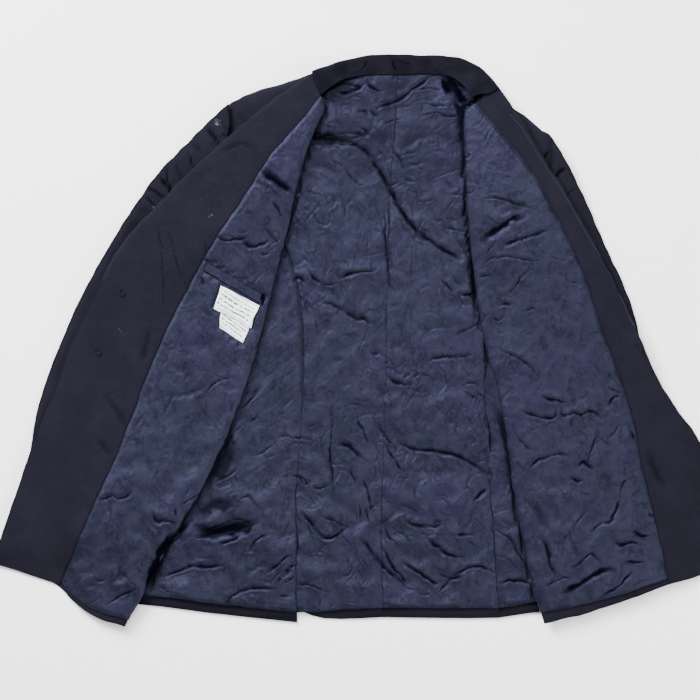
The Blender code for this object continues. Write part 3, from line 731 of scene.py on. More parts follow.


# each style's width, depth and the darkness of its painted shade
STYLES = {
    "gulf": (7.5, 3.4, 1.0),
    "shade": (12.0, 1.6, 0.72),
    "broad": (4.6, 3.0, 0.97),
    "long": (3.3, 2.8, 0.96),
    "deep": (2.3, 2.4, 0.95),
    "soft": (4.5, 1.8, 0.35),
    "sharp": (1.6, 1.5, 0.85),
    "thin": (1.3, 0.9, 0.5),
}
JAG = 1.1  # how far a crease wanders from its curve, in mm
FROM_LIGHT = np.array([0.35, -0.94])  # in plan, away from the key light
LIP = 0.34  # height of the lip on the side away from the light, as a share of the depth
FAR_LIP = 0.2  # and of the lip on the other side


def smooth_line(points, step=2.0):
    """Points about that far apart on a Catmull-Rom curve through the given ones."""
    points = np.asarray(points, float)
    ends = np.vstack([2 * points[0] - points[1], points, 2 * points[-1] - points[-2]])
    length = np.linalg.norm(np.diff(points, axis=0), axis=1).sum()
    at = np.linspace(0, len(points) - 1, max(int(length / step), 3) + 1)
    first = np.minimum(at.astype(int), len(points) - 2)
    t = (at - first)[:, None]
    p0, p1, p2, p3 = (ends[first + k] for k in range(4))
    return 0.5 * (
        2 * p1 + (p2 - p0) * t
        + (2 * p0 - 5 * p1 + 4 * p2 - p3) * t**2
        + (3 * p1 - p0 - 3 * p2 + p3) * t**3
    )


def press(plan, creases, lift, painted_shade):
    """Adds each crease to lift, as a trough between two lips, and its painted shade to the shade array.
    """
    for crease in creases:
        line = smooth_line(crease.points)
        thin = np.clip(0.97 + 0.6 * noise(line, 14, 93), 0.6, 1.4)
        line = line + JAG * np.stack([noise(line, 8, 91), noise(line, 8, 92)], axis=1)
        reach = 5 * crease.width
        low, high = line.min(axis=0) - reach, line.max(axis=0) + reach
        near = np.flatnonzero(((plan > low) & (plan < high)).all(axis=1))
        if not len(near):
            continue
        tangent = np.gradient(line, axis=0)
        normal = np.stack([-tangent[:, 1], tangent[:, 0]], axis=1)
        normal /= np.linalg.norm(normal, axis=1)[:, None] + 1e-6
        normal *= np.sign((normal @ FROM_LIGHT).sum()) or 1.0
        apart = plan[near, None] - line[None]
        away = np.hypot(apart[..., 0], apart[..., 1])
        closest = away.argmin(axis=1)
        own = np.arange(len(near))
        ragged = 1 + 0.22 * noise(plan[near], 11, 94)
        gap = away[own, closest] / (crease.width * thin[closest]) * ragged
        side = gap * np.sign((apart[own, closest] * normal[closest]).sum(axis=1))
        share = closest / (len(line) - 1)
        taper = np.sin(np.pi * np.clip(share, 0.03, 0.97)) ** 0.5
        profile = -np.exp(-(gap**2))
        profile += LIP * np.exp(-(((side - 2.0) / 0.9) ** 2))
        profile += FAR_LIP * np.exp(-(((side + 2.6) / 1.4) ** 2))
        lift[near] += crease.depth * profile * taper
        # painted shade, darkest along the crease's line
        shade = crease.dark * soft_step((1.15 - gap) / 0.7) * np.minimum(1.3 * taper, 1)
        painted_shade[near] = np.maximum(painted_shade[near], shade)


def small_tucks(plan, seed, spacing):
    """Short creases scattered over a cloth, uneven in length and direction."""
    made = []
    random = np.random.default_rng(seed)
    low, high = plan.min(axis=0), plan.max(axis=0)
    count = int(np.prod(high - low) / spacing**2)
    starts = random.uniform(low, high, (count, 2))
    heading = np.pi * noise(starts, 130, seed + 3) + random.normal(0, 0.8, count)
    for start, angle in zip(starts, heading):
        length, turn = random.uniform(8, 32), random.normal(0, 0.5)
        points = [start]
        for _ in range(3):
            points.append(points[-1] + length / 3 * np.array([np.cos(angle), np.sin(angle)]))
            angle += turn
        scale = random.uniform(0.6, 1.3)
        made.append(Crease(points, 1.4 * scale, 0.8 * scale, 0.55 * random.uniform(0, 1)))
    return made


# x,y x,y and so on along each crease, in mm, with a stroke between two creases
BODY_CREASES = {
    "gulf": """
        -86,291 -72,285 -54,279 -34,276 / 116,368 124,358 129,346 / 126,352 134,340 140,326 / -236,-262
        -214,-268 -190,-264 -168,-262 -152,-256 / -186,-256 -170,-262 -156,-270 / -232,-276 -212,-274
        -192,-270 -176,-272 / 112,366 117,352 122,340
    """,
    "shade": """
        -196,-120 -204,-146 -214,-172 -222,-196 / -186,-150 -196,-180 -204,-200 / -226,-250 -216,-236
        -200,-232 -184,-240 / -188,-124 -200,-154 -212,-180 -220,-200 / 181,5 186,-30 192,-60 198,-95
        204,-130 210,-170 214,-200 / 132,330 138,312 142,290 145,265
    """,
    "broad": """
        141,314 144,270 147,220 150,170 153,110 155,60 157,31 / -75,282 -58,276 -38,274 -19,274 /
        -64,334 -57,344 -44,356 -26,363 / 128,328 135,317 142,309 / 197,-75 204,-114 208,-156 214,-195 /
        218,-212 222,-240 226,-275 233,-317 / -204,-268 -187,-264 -173,-260 -162,-268 / -296,-352
        -293,-331 -288,-307 -274,-282 -257,-268 -240,-257
    """,
    "long": """
        -26,275 -10,270 4,262 12,253 / 12,253 22,237 30,222 36,212 / 34,214 41,202 47,190 52,178 62,166
        72,153 78,145 / 75,149 86,142 97,134 111,125 124,117 136,110
    """,
    "deep": """
        -64,334 -57,344 -44,356 -26,363 -8,365 / 19,321 31,326 47,332 61,342 74,352 86,360 99,368 /
        -38,344 -24,344 -10,348 1,355 / 4,360 10,352 19,346 27,345 / -34,85 -23,90 -8,93 6,94 16,96 /
        -55,51 -43,48 -30,41 / -26,38 -18,33 -10,27 -1,27 9,20 / 135,61 146,62 158,59 167,64 / 90,-31
        102,-27 121,-26 138,-24 150,-22 / 36,-55 46,-61 55,-64 69,-64 / 48,-144 58,-149 69,-155 85,-155
        100,-156 118,-160 135,-164 149,-173 163,-181 173,-190 / -33,-148 -23,-149 -13,-156 -4,-167 /
        -99,-191 -90,-194 -83,-201 -78,-206 / -85,-243 -76,-254 -66,-268 -54,-279 -38,-274 -22,-264 /
        58,-255 72,-261 90,-264 107,-262 / 89,-279 102,-290 114,-299 128,-304 138,-306 / 131,-274
        139,-275 152,-274 / 57,-313 68,-320 79,-327 88,-334 99,-340 108,-340 / 124,-332 141,-323
        156,-318 169,-320 181,-326 / 108,-352 115,-344 124,-337 138,-331 / 27,-293 36,-307 43,-321
        54,-334 58,-346 / -4,-279 5,-289 13,-299 20,-310 27,-318 37,-328 51,-340 / 191,-342 205,-338
        219,-338 236,-344 / 155,-226 163,-218 172,-209 / -278,-331 -264,-327 -243,-320 -215,-321
        -198,-318 / -194,-372 -184,-360 -169,-352 -148,-348 -124,-351 / -100,83 -90,85 -83,78 / -74,90
        -68,83 -62,78 / -160,-88 -155,-80 -150,-72 / -134,-327 -124,-320 -113,-310 -104,-304 / -121,-341
        -111,-332 -103,-323 -94,-317 / -158,-296 -152,-284 -144,-278 -135,-275 / -232,-279 -218,-276
        -208,-274 / -201,-285 -184,-282 -173,-275 / -192,-125 -187,-136 -181,-150
    """,
    "soft": """
        -194,-142 -204,-170 -215,-192 / -162,-327 -150,-321 -139,-313 / 12,-265 23,-260 34,-254 46,-243
        / 19,-64 26,-72 30,-79 / -47,-254 -40,-264 -33,-265 / 58,267 71,276 85,281 / -71,243 -58,241
        -47,236 -37,229
    """,
    "sharp": """
        -44,354 -27,356 -12,352 -1,354 / -79,286 -47,285 -16,286 8,284 / -19,279 -8,282 4,282 / 34,212
        43,214 50,219 / 80,310 93,312 104,314 113,310 125,309 139,312 / 92,326 103,324 115,324 / 75,348
        86,349 99,349 108,348 / 9,318 15,313 20,309 / 31,300 40,304 51,306 / -9,316 1,317 6,312 /
        -27,237 -18,227 -8,216 -1,214 / -43,248 -31,241 / -80,275 -78,264 -75,253 / -97,222 -89,230
        -82,237 / -10,295 1,292 6,285 / 41,265 48,255 54,246 57,236 / 30,177 30,145 33,107 36,68 /
        113,155 125,152 138,149 145,148 / 108,82 117,74 125,66 / 149,76 163,80 177,86 / 128,6 142,12
        156,19 173,22 / -59,75 -50,76 -40,78 / -169,-26 -156,-33 / -169,-69 -164,-83 -163,-99 -156,-110
        -149,-121 / -120,-136 -107,-136 -94,-139 -79,-139 / -153,-163 -141,-159 -131,-152 -122,-145 /
        -43,-93 -44,-128 -46,-163 -44,-191 -43,-215 / -9,-104 -5,-120 1,-132 6,-146 / -20,-184 -15,-195
        -10,-206 / -1,-195 5,-212 9,-229 12,-243 / 16,-118 26,-131 34,-142 41,-148 / 31,-152 38,-163
        47,-176 54,-184 / 12,-22 22,-22 / 30,-34 44,-37 / 57,-55 65,-50 / 68,-54 79,-51 94,-54 / 138,-65
        149,-62 160,-64 / 142,-75 150,-80 159,-86 / 159,-78 166,-83 / -71,-208 -61,-209 -50,-206 /
        -54,-250 -37,-257 -23,-264 / 23,-313 34,-323 46,-331 57,-345 / 107,-327 115,-334 128,-335 /
        186,-267 195,-274 204,-279 214,-296 223,-310 233,-324 / 198,-188 208,-201 216,-208 / -131,-342
        -124,-334 -118,-327 / -111,-341 -97,-335 / -117,-359 -106,-360 / -93,-345 -82,-345 -66,-348
        -47,-356 / -8,-226 -5,-240 -4,-250 / 2,-236 6,-248 8,-258 / 31,-268 37,-278 47,-289 / 48,-270
        58,-276 66,-284 / -176,-230 -163,-219 -153,-229 -146,-239 / -205,-201 -194,-194 -184,-187
        -177,-181 / -232,-233 -226,-243 -223,-254 / -215,-219 -214,-237 -212,-254 / -285,-346 -276,-352
        -268,-358
    """,
    "thin": """
        38,173 36,145 37,107 38,75 / 68,125 68,103 66,79 / 40,306 40,285 41,264 / 93,286 102,293 108,298
        / 124,284 131,289 138,285 / 117,261 122,275 128,281 / 54,323 62,324 71,330 82,332 / 16,284
        23,292 31,299 / -57,320 -52,310 -50,303 / -33,314 -24,312 -19,307 / 18,268 27,257 34,243 38,225
        / 57,264 65,258 74,261 / 93,222 114,230 135,237 146,239 / 54,225 65,219 76,219 / 97,167 111,164
        / 128,141 139,127 149,113 156,99 / -85,65 -76,58 -69,52 / -135,-30 -128,-51 -127,-75 -128,-100
        -131,-121 / -134,-125 -125,-118 -113,-114 / -99,-145 -79,-148 / -134,-166 -124,-162 -114,-159 /
        -85,-58 -79,-79 -74,-93 / -44,-78 -37,-85 / 9,-142 18,-153 23,-164 / 139,-40 145,-47 149,-55 /
        107,-9 121,1 132,6 / 167,-117 174,-128 180,-139 187,-150 / 172,-159 188,-160 / -16,-282 -9,-299
        -2,-310 6,-321 / -104,-278 -110,-290 -114,-302 / -78,-219 -68,-230 -59,-247 / 107,-243 114,-247
        124,-248 / 76,-272 86,-276 107,-275 128,-274 / 144,-284 160,-290 / 156,-251 163,-260 172,-270 /
        -46,-282 -61,-296 -66,-306 / -131,-181 -125,-190 -120,-200 / 68,-83 76,-72 85,-66
    """,
}
RIGHT_FRONT_CREASES = {
    "gulf": """
        -300,-360 -297,-340 -292,-318 -284,-298 -270,-282 -256,-271
    """,
    "broad": """
        -145,64 -140,55 -142,45 / -142,234 -128,223 -113,212 -102,205
    """,
    "deep": """
        -204,142 -190,136 -176,138 -164,141 / -167,136 -162,130 -152,128 -142,132 -132,136 / -145,118
        -138,117 -134,118 / -370,-225 -359,-223 -349,-219 -341,-223 -331,-222 -326,-216 / -292,-243
        -288,-254 -274,-255 -260,-257
    """,
    "soft": """
        -268,-80 -246,-76 -223,-68 / -222,40 -215,33 -211,29 / -352,-341 -338,-331 -330,-326 / -131,208
        -142,214 -152,219
    """,
    "sharp": """
        -139,239 -122,225 -104,208 / -128,204 -122,200 / -127,191 -120,181 -114,170 / -139,158 -132,148
        -124,138 -118,132 / -131,121 -125,125 / -222,110 -215,104 / -229,85 -223,76 / -218,-75 -211,-65
        -201,-58 -183,-54 / -253,-230 -243,-226 -234,-219 / -358,-372 -344,-362 -332,-355 -318,-349 /
        -262,-237 -260,-247
    """,
    "thin": """
        -134,156 -127,146 -121,139 / -278,-16 -264,-15 -253,-22 / -243,-33 -234,-38 -226,-43 / -296,-113
        -282,-107 -274,-99 / -303,-93 -292,-89 -281,-83 / -320,-125 -310,-111 -299,-103 / -285,-226
        -276,-230 -271,-237 / -408,-352 -400,-342 -394,-334 / -89,317 -82,312 -75,307 / -167,54 -159,40
        -150,23
    """,
}
LEFT_FRONT_CREASES = {
    "broad": """
        275,-356 289,-348 303,-341 317,-332 335,-324 349,-323 / 166,136 180,148 195,156 209,166 223,169
    """,
    "deep": """
        195,131 208,135 222,139 237,145 255,150 / 192,46 200,48 205,47 / 181,30 190,26 195,31 / 251,-79
        260,-85 271,-86 282,-89 / 219,-99 236,-106 254,-111 265,-110 270,-97 / 276,-97 279,-107 292,-104
        303,-107 314,-102 321,-103 331,-111 / 341,-93 345,-86 351,-83 356,-82 / 369,-128 374,-134
        377,-139 / 232,-183 240,-172 255,-166 271,-160 284,-163 / 299,-177 306,-172 312,-176 320,-181 /
        288,-194 296,-198 303,-197 / 355,-226 349,-240 341,-257 / 318,-268 328,-261 340,-255 348,-253 /
        349,-286 360,-288 373,-284 383,-284 / 376,-267 386,-274 397,-274 / 365,-312 377,-314 388,-312 /
        292,-318 303,-313 313,-303 320,-302 328,-309 / 331,-360 345,-352 356,-345 366,-334 373,-327 /
        247,-279 254,-290 258,-304 262,-318 268,-332 / 397,-243 402,-247 407,-243
    """,
    "soft": """
        226,-226 237,-240 247,-254 257,-265 / 198,173 212,181 226,186 / 331,-184 340,-198 345,-212
    """,
    "sharp": """
        169,195 187,195 201,192 212,187 233,181 / 172,115 178,127 186,136 / 169,104 176,111 187,113
        205,113 223,110 240,107 246,111 / 202,61 212,74 222,88 229,96 / 225,38 232,41 239,43 / 163,85
        170,88 178,90 / 191,-15 202,-20 214,-27 226,-34 236,-44 244,-54 / 288,-122 290,-110 / 342,-69
        352,-74 363,-74 / 342,-138 348,-132 355,-124 / 312,-174 316,-159 321,-144 327,-131 / 327,-131
        332,-141 342,-149 / 208,-125 216,-138 226,-150 233,-156 / 275,-285 286,-271 299,-255 310,-240 /
        368,-195 360,-206 356,-222 / 257,-345 262,-340 268,-334 / 265,-341 275,-335 286,-332 / 290,78
        298,80
    """,
    "thin": """
        248,120 255,118 / 257,113 268,110 279,108 / 248,94 258,93 / 278,37 279,46 284,59 / 316,5 326,9
        335,12 / 324,-8 335,-6 341,-6 / 327,-16 337,-15 342,-15 / 202,-51 219,-51 233,-55 247,-58 /
        200,-58 208,-59 / 289,-89 295,-79 / 272,-268 284,-251 / 373,-345 384,-341 394,-337 / 223,-222
        233,-234 / 240,-114 254,-120 264,-128
    """,
}
SLEEVE_CREASES = {
    "deep": """
        -167,302 -156,304 / -302,211 -290,204 -274,194 / -285,225 -276,214 -268,201 / -218,295 -209,282
        -201,270 / 265,222 272,232 282,239 / 247,250 253,255 258,261
    """,
    "soft": """
        -313,177 -299,178 -288,181 / -334,144 -323,155 -310,164 / -240,271 -234,267 -229,261 / -262,243
        -257,230 -253,219 / -198,303 -190,292 -184,279
    """,
    "sharp": """
        -275,236 -272,218 -268,201 / -246,261 -241,247 -237,233 / -198,286 -187,281 / -304,198 -298,191
        -290,184 / 279,194 286,202 295,208
    """,
    "thin": """
        -178,320 -170,309 -163,299
    """,
}
FACING_CREASES = {
    "soft": """
        -194,261 -180,268 -166,271 -152,264 / -358,-79 -349,-94 -338,-110 -331,-120 / -369,-142
        -360,-153 -352,-163 / 398,-163 408,-184 419,-205 / 387,-16 398,-27 408,-40 / -299,12 -303,-9
        -310,-30
    """,
    "thin": """
        -288,172 -284,140 -281,105 -279,70 -280,30 / -272,150 -264,118 -254,88 -248,72 / -386,59 -391,46
        -398,29 / -222,138 -220,117 -222,96 / 376,-9 384,-19
    """,
}
COLLAR_CREASES = {
    "deep": """
        41,388 41,380 46,372
    """,
    "soft": """
        48,387 65,384 86,383 107,386 128,388 149,387 / -30,372 -12,382 6,384 / 20,390 34,382 38,374 /
        100,392 112,380 126,372 / 150,378 160,366 166,356 / -50,374 -40,364 -32,358
    """,
    "sharp": """
        8,392 2,382 -4,373 / 40,386 52,385 66,383
    """,
}


def from_table(table):
    """The creases of a table, which lists them as text under the names of their styles."""
    made = []
    for style, text in table.items():
        for line in text.split("/"):
            points = [tuple(map(int, point.split(","))) for point in line.split()]
            made.append(Crease(points, *STYLES[style]))
    return made


BODY = from_table(BODY_CREASES)
RIGHT_FRONT = from_table(RIGHT_FRONT_CREASES)
LEFT_FRONT = from_table(LEFT_FRONT_CREASES)
SLEEVE = from_table(SLEEVE_CREASES)
FACING = from_table(FACING_CREASES)
COLLAR = from_table(COLLAR_CREASES)
placed = BODY + RIGHT_FRONT + LEFT_FRONT + SLEEVE + FACING + COLLAR
print("creases placed by hand:", len(placed))


# %% [markdown]
# ## Lay the cloths
# A cloth is given the size that it was cut to, and its area is printed as a share of that size. It
# rests on what lies below it.
# The lining is loose, so it may rise a few millimetres off its wall. The wool only waves a little.


# %% Make a cloth piece
# of its cut, which a sheet's area is declared as at least
LEAST_SHARE = 0.31  # of its cut, the least share for a sheet's area in a bound that is computed but not used


def slot_of(node):
    """The material slot that the record gives a node."""
    return next(s["material_slot"] for s in frame["record"]["subparts"] if s["node"] == node)


def cloth_piece(node, mesh, painted_shade, cut):
    """The cloth that stands for one wall, which it hides. The cut is in mm."""
    store(mesh, "painted_shade", painted_shade)
    mesh.shade_smooth()
    mesh.materials.clear()
    mesh.materials.append(FINISHES[slot_of(node)])
    piece = in_scene(node + "_cloth", mesh)
    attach(piece, "root")
    slot_of(node)
    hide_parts(node)
    area = sum(face.area for face in mesh.polygons) / 2
    width, length = (side * MM for side in cut)
    min(max(area, LEAST_SHARE * width * length), width * length)
    share = area / width / length
    print(f"{node}: {len(mesh.polygons)} faces, {area:.3f} m2, of the cut {share:.2f}")
    return piece


# %% One cloth
class Cloth(NamedTuple):
    """How one wall of the frame becomes cloth."""

    cut: tuple  # the cut's width and length, in mm
    rests_on: tuple
    creases: list = ()
    seed: int = 1
    held: str = "laid"
    sheet: str = ""  # the crumple that a lining takes
    ease: float = 0.0  # how far it stands off, in mm
    lowest: float = 0.0  # how far down a crease may press it
    sewn_to: tuple = ()  # linings that its crumple runs on into
    pulls: tuple = ()  # (place, way, reach) by which its edge is drawn to the next piece
    spacing: float = 26.0  # of the small tucks
    cuts: int = 3  # how many times each smoothed facet is cut again
    wave: float = 0.5  # height of the wool's waves, in mm
    crumple: float = 0.3  # share of the simulated crumple that it takes
    seam_shade: float = 0.15  # how dark it reads along its edge
    under: float = 0.0  # mm more of that shade below the left front's edge
    calm: float = 0.0  # share by which its upper part is smoother
    dim: float = 0.0  # how dark all of it reads


EYELETS = ((-337, 64), (-370, -19), (-404, -97))  # their middles in plan, in mm
SATIN_FADE = 5.0  # mm from an edge over which the crumple rises
WOOL_FADE = 9.0  # and the wool's waves
EYELET_FLAT = 14.0  # mm around an eyelet over which the wool lies flat
MOST_LIFT = 8.0  # mm that a lining may stand off
RIM_LEVEL = 0.55  # a point whose normal is more level than this lies on the rim
SEAM_LET = 0.35  # mm that an edge reaches out, to close the frame's gap at a seam
SEAM_DIP = 2.2  # mm from a seam over which the satin dips into it
WOOL_EDGE = 2.2  # mm from an edge over which the wool is painted darker, as shade
SATIN_EDGE = 1.4  # and the satin, where it lies under no front
UNDER_FRONT = 0.97  # how dark the painted shadow on the satin is right below the left front's edge
LOWER_BODY = -150  # y in mm, below which the satin is crumpled more
CLOTH_LEVELS = 2  # of smoothing for a cloth
FAR = COVER / MM  # mm, for a point with no edge near it


def past(values, start, over):
    """0 up to that start, 1 when past it by the second number, and smooth between."""
    return soft_step((values - start) / over)


def from_edge(surface):
    """How far each point is from the edge of what shows, in mm."""
    return np.where(surface.inside > 0, surface.inside, FAR)


def close_gaps(points, normals):
    """Moves the rim of a cloth outwards by a little."""
    level = np.linalg.norm(normals[:, :2], axis=1)
    rim = level > RIM_LEVEL
    points[rim, :2] += normals[rim, :2] / level[rim, None] * SEAM_LET
    return points


def stretched(points, place, move, reach):
    """Pulls the points around a place that way, in mm."""
    away = np.linalg.norm(points[:, :2] - place, axis=1)
    points[:, :2] += soft_step(1.4 * (1 - away / reach))[:, None] * np.array(move, float)
    return points


def unruled(flat):
    """How far hand-cut and sewn edges stray from true, the same for all pieces in a place."""
    far = 1.5 * np.stack([noise(flat, 70, 81), noise(flat, 70, 82)], axis=1)
    return far + 1.1 * np.stack([noise(flat, 19, 83), noise(flat, 19, 84)], axis=1)


def crumple_share(flat, cloth):
    """The share of the simulated crumple that a lining takes at each point, most near the hem."""
    share = cloth.crumple * (0.7 + 0.6 * soft_step(0.5 + 1.1 * noise(flat, 120, 61)))
    share += 0.22 * past(-flat[:, 1], -LOWER_BODY, 130)
    return share * (1 - cloth.calm * past(flat[:, 1], -40, 120))


def edge_shade(flat, cloth, surface, painted_shade):
    """Adds the painted shade along a lining's edges and seams, and over the body lining's upper part,
    to that of its creases.
    """
    across, up = flat[:, 0], flat[:, 1]
    left = past(across, 90, 40) * past(up, -340, 60)  # along the left front's edge
    if cloth.under:
        # painted shade over the body lining's upper part, towards the collar, broken up by noise
        painted_shade = np.maximum(painted_shade, 0.3 * past(up, 190, 90) * soft_step(0.65 + noise(flat, 30, 77)))
    # painted shadow below the left front's edge, wider near the collar; elsewhere painted shade along
    # the edge
    wide = SATIN_EDGE + cloth.under * left * (1 + 0.7 * noise(flat, 24, 71))
    wide += 2 * cloth.under * left * past(up, 250, 60)
    dark = cloth.seam_shade + (UNDER_FRONT - cloth.seam_shade) * left * (cloth.under > 0)
    painted_shade = np.maximum(painted_shade, dark * np.exp(-((from_edge(surface) / wide) ** 2)))
    # painted shade along the seams between linings, darker towards the hem
    sewn = 0.08 + 0.3 * past(-up, -LOWER_BODY, 80)
    return np.maximum(painted_shade, sewn * np.exp(-(surface.seam**2)))


def lay_satin(mesh, cloth, surface):
    """Lifts and crumples a lining, and works out its painted shade."""
    points = close_gaps(points_of(mesh), normals_of(mesh))
    flat = points[:, :2].copy()
    moved = CRUMPLES[cloth.sheet].at(flat) * crumple_share(flat, cloth)[:, None]
    fine = soft_step(0.4 + 1.4 * noise(flat, 75, cloth.seed + 40))
    fine *= 1 - cloth.calm
    lift = cloth.ease + moved[:, 2] + (0.04 + 0.15 * fine) * crumpled(flat, 8.5, cloth.seed)
    lift += 0.3 * crumpled(flat, 21, cloth.seed + 2)
    painted_shade = np.zeros(len(points))
    press(flat, small_tucks(flat, cloth.seed + 5, cloth.spacing), lift, painted_shade)
    press(flat, cloth.creases, lift, painted_shade)
    lift -= 0.4 * np.exp(-((surface.seam / SEAM_DIP) ** 2))
    over = lift - cloth.lowest
    lift = np.minimum(cloth.lowest + 0.5 * (over + np.sqrt(over**2 + 0.6)), MOST_LIFT)
    free = soft_step(surface.inside / SATIN_FADE)
    laid = points + surface.up * (lift * free)[:, None]
    laid[:, :2] += moved[:, :2] * free[:, None] + unruled(flat)
    return laid, edge_shade(flat, cloth, surface, painted_shade)


def lay_wool(mesh, cloth, surface):
    """Gives a wool cloth slow waves and its own creases, and works out how much of the dull colour each
    point takes: its dim share, and painted shade in its creases and along its edges.
    """
    points = close_gaps(points_of(mesh), normals_of(mesh))
    for place, move, reach in cloth.pulls:
        points = stretched(points, place, move, reach)
    flat = points[:, :2].copy()
    lift = cloth.wave * (1 + noise(flat, 85, cloth.seed))
    lift += 0.3 * cloth.wave * crumpled(flat, 30, cloth.seed + 20)
    painted_shade = cloth.dim * (0.75 + 0.5 * soft_step(0.5 + noise(flat, 22, 75)))
    press(flat, cloth.creases, lift, painted_shade)
    # painted shade along the edge of what shows
    shade = cloth.seam_shade * np.exp(-((from_edge(surface) / WOOL_EDGE) ** 2))
    painted_shade = np.maximum(painted_shade, shade)
    lift = np.clip(lift, -0.3, 4) * soft_step(surface.inside / WOOL_FADE)
    for place in EYELETS:
        away = np.linalg.norm(flat - place, axis=1)
        lift *= 1 - np.exp(-((away / EYELET_FLAT) ** 2))
    laid = points + surface.up * lift[:, None]
    laid[:, :2] += unruled(flat)
    return laid, painted_shade


def lay_cloth(node, cloth):
    lay = lay_satin if slot_of(node) == "lining" else lay_wool
    mesh = smoothed(squared_wall(node), node + "_cloth", CLOTH_LEVELS)
    surface = refined(mesh, node, cloth.cuts, cloth.sewn_to)
    laid, painted_shade = lay(mesh, cloth, surface)
    move_points(mesh, laid)
    return cloth_piece(node, mesh, painted_shade, cloth.cut)


# %% Wool cloths
WOOL_CLOTHS = {
    "back_right": Cloth((250, 790), ("back_left",), seed=3, cuts=0, wave=0.0),
    "back_left": Cloth((260, 790), ("back_right",), seed=4, cuts=0, wave=0.0),
    "side_right": Cloth((260, 520), ("back_right",), seed=5, cuts=0, wave=0.0),
    "side_left": Cloth((150, 500), ("back_left",), seed=6, cuts=0, wave=0.0),
    "sleeve_right": Cloth(
        (360, 450), ("front_right",), SLEEVE, 7, "folded", cuts=2, seam_shade=0.6,
        pulls=(((-194, 326), (5, 4), 18), ((-191, 303), (4, 0), 18)),
    ),
    "sleeve_left": Cloth(
        (340, 620), ("front_left",), SLEEVE, 8, "folded", cuts=2, seam_shade=0.6
    ),
    "front_right": Cloth(
        (480, 860), ("side_right", "sleeve_right"), SLEEVE, 9, "folded", cuts=1,
        pulls=(((-186, 319), (-4, 3), 20),),
    ),
    "front_left": Cloth(
        (520, 840), ("side_left", "sleeve_left"), SLEEVE, 10, "folded", cuts=1,
        pulls=(((256, 274), (5, 3), 20),),
    ),
    "facing_right": Cloth((190, 860), ("front_right",), FACING, 11, "folded", cuts=2),
    "facing_left": Cloth(
        (210, 840), ("front_left",), FACING, 12, "folded", cuts=2,
        pulls=(((180, 342), (-3, 6), 24),),
    ),
    "collar": Cloth(
        (100, 290), ("back_right", "back_left"), COLLAR, 13, "folded", cuts=3, wave=0.4, dim=0.42,
        pulls=(((-64, 362), (-4, 0), 26), ((180, 350), (3, -5), 26)),
    ),
}
wool_pieces = {node: lay_cloth(node, cloth) for node, cloth in WOOL_CLOTHS.items()}

# %% Lining cloths
BODY_LINING = {
    "seed": 31, "sheet": "body", "ease": 1.6, "lowest": -2.3, "seam_shade": 0.6, "under": 2.4,
    "spacing": 21,
}
BACKS = ("lining_back_right", "lining_back_left")
LINING_CLOTHS = {
    "lining_back_right": Cloth(
        (210, 775), ("back_right",), BODY,
        sewn_to=("lining_back_left", "lining_side_right"), **BODY_LINING,
    ),
    "lining_back_left": Cloth(
        (230, 775), ("back_left",), BODY,
        sewn_to=("lining_back_right", "lining_side_left"), **BODY_LINING,
    ),
    "lining_side_right": Cloth((270, 520), ("side_right",), BODY, sewn_to=BACKS, **BODY_LINING),
    "lining_side_left": Cloth((160, 500), ("side_left",), BODY, sewn_to=BACKS, **BODY_LINING),
    "lining_front_right": Cloth(
        (150, 830), ("front_right",), RIGHT_FRONT, 33, sheet="right", ease=2.0, crumple=0.2,
        spacing=32, calm=0.35,
    ),
    "lining_front_left": Cloth(
        (200, 830), ("front_left",), LEFT_FRONT, 34, sheet="left", ease=2.0, crumple=0.2,
        spacing=32, calm=0.5,
    ),
}
lining_pieces = {node: lay_cloth(node, cloth) for node, cloth in LINING_CLOTHS.items()}

# %% [markdown]
# ## Small pieces
# The welt of the breast pocket and the two labels are small flat pieces on the lining. A label's
# mesh keeps where each point lies across and down it, so that its ruled lines follow its edges.


# %% Pocket welt and labels
PATCH_LEVELS = 3  # of smoothing for a small piece
WELT_SHADE = 2.0  # mm from a side of the welt over which it is painted with shade
RAY_START = 0.2  # m above the floor, higher than every cloth
DOWN = Vector((0, 0, -1))


def heights_on(tree, plan):
    """The height of a surface under each point of the plan, in mm, or None under no point."""
    found = [tree.ray_cast(Vector((*point, RAY_START)), DOWN)[0] for point in plan * MM]
    heights = [hit.z for hit in found if hit]
    if not heights:
        return None
    level = np.mean(heights)
    return np.array([hit.z if hit else level for hit in found]) / MM


crumpled_lining = tree_of(lining_pieces["lining_front_right"].data)
plain_lining = neighbours.trees["lining_front_right"]


def rise_onto(plan, clearance):
    """How far a small flat piece rises from the plain wall to lie on the crumpled lining."""
    rise = heights_on(crumpled_lining, plan) - heights_on(plain_lining, plan)
    stiff = 0.35 * (rise - rise.mean()) + rise.mean()
    return stiff + np.quantile(rise - stiff, 0.97) + clearance


def small_patch(node, cut, clearance):
    """Lays a small flat piece on the crumpled lining, that far clear of it in mm."""
    mesh = smoothed(squared_wall(node), node + "_cloth", PATCH_LEVELS)
    points = points_of(mesh)
    middle = points.mean(axis=0)
    _, _, axes = np.linalg.svd((points - middle)[:, :2], full_matrices=False)
    along = axes[0] * np.sign(axes[0, 0])
    down = np.array([along[1], -along[0]])
    for name, axis in (("across", along), ("down", down)):
        place = (points - middle)[:, :2] @ axis
        store(mesh, name, (place - place.min()) / (place.max() - place.min()))
    side = np.abs((points - middle)[:, :2] @ down)
    shade = 0 * side
    if slot_of(node) == "lining":  # the welt is painted with shade along its two folded sides, broken up by noise
        wear_and_shade = soft_step(1.0 + noise(points[:, :2], 9, 97))
        shade = 0.9 * wear_and_shade * soft_step(1.2 - (side.max() - side) / WELT_SHADE)
    points[:, 2] += rise_onto(points[:, :2], clearance)
    points[:, :2] += unruled(points[:, :2].copy())
    move_points(mesh, points)
    cloth_piece(node, mesh, shade, cut)


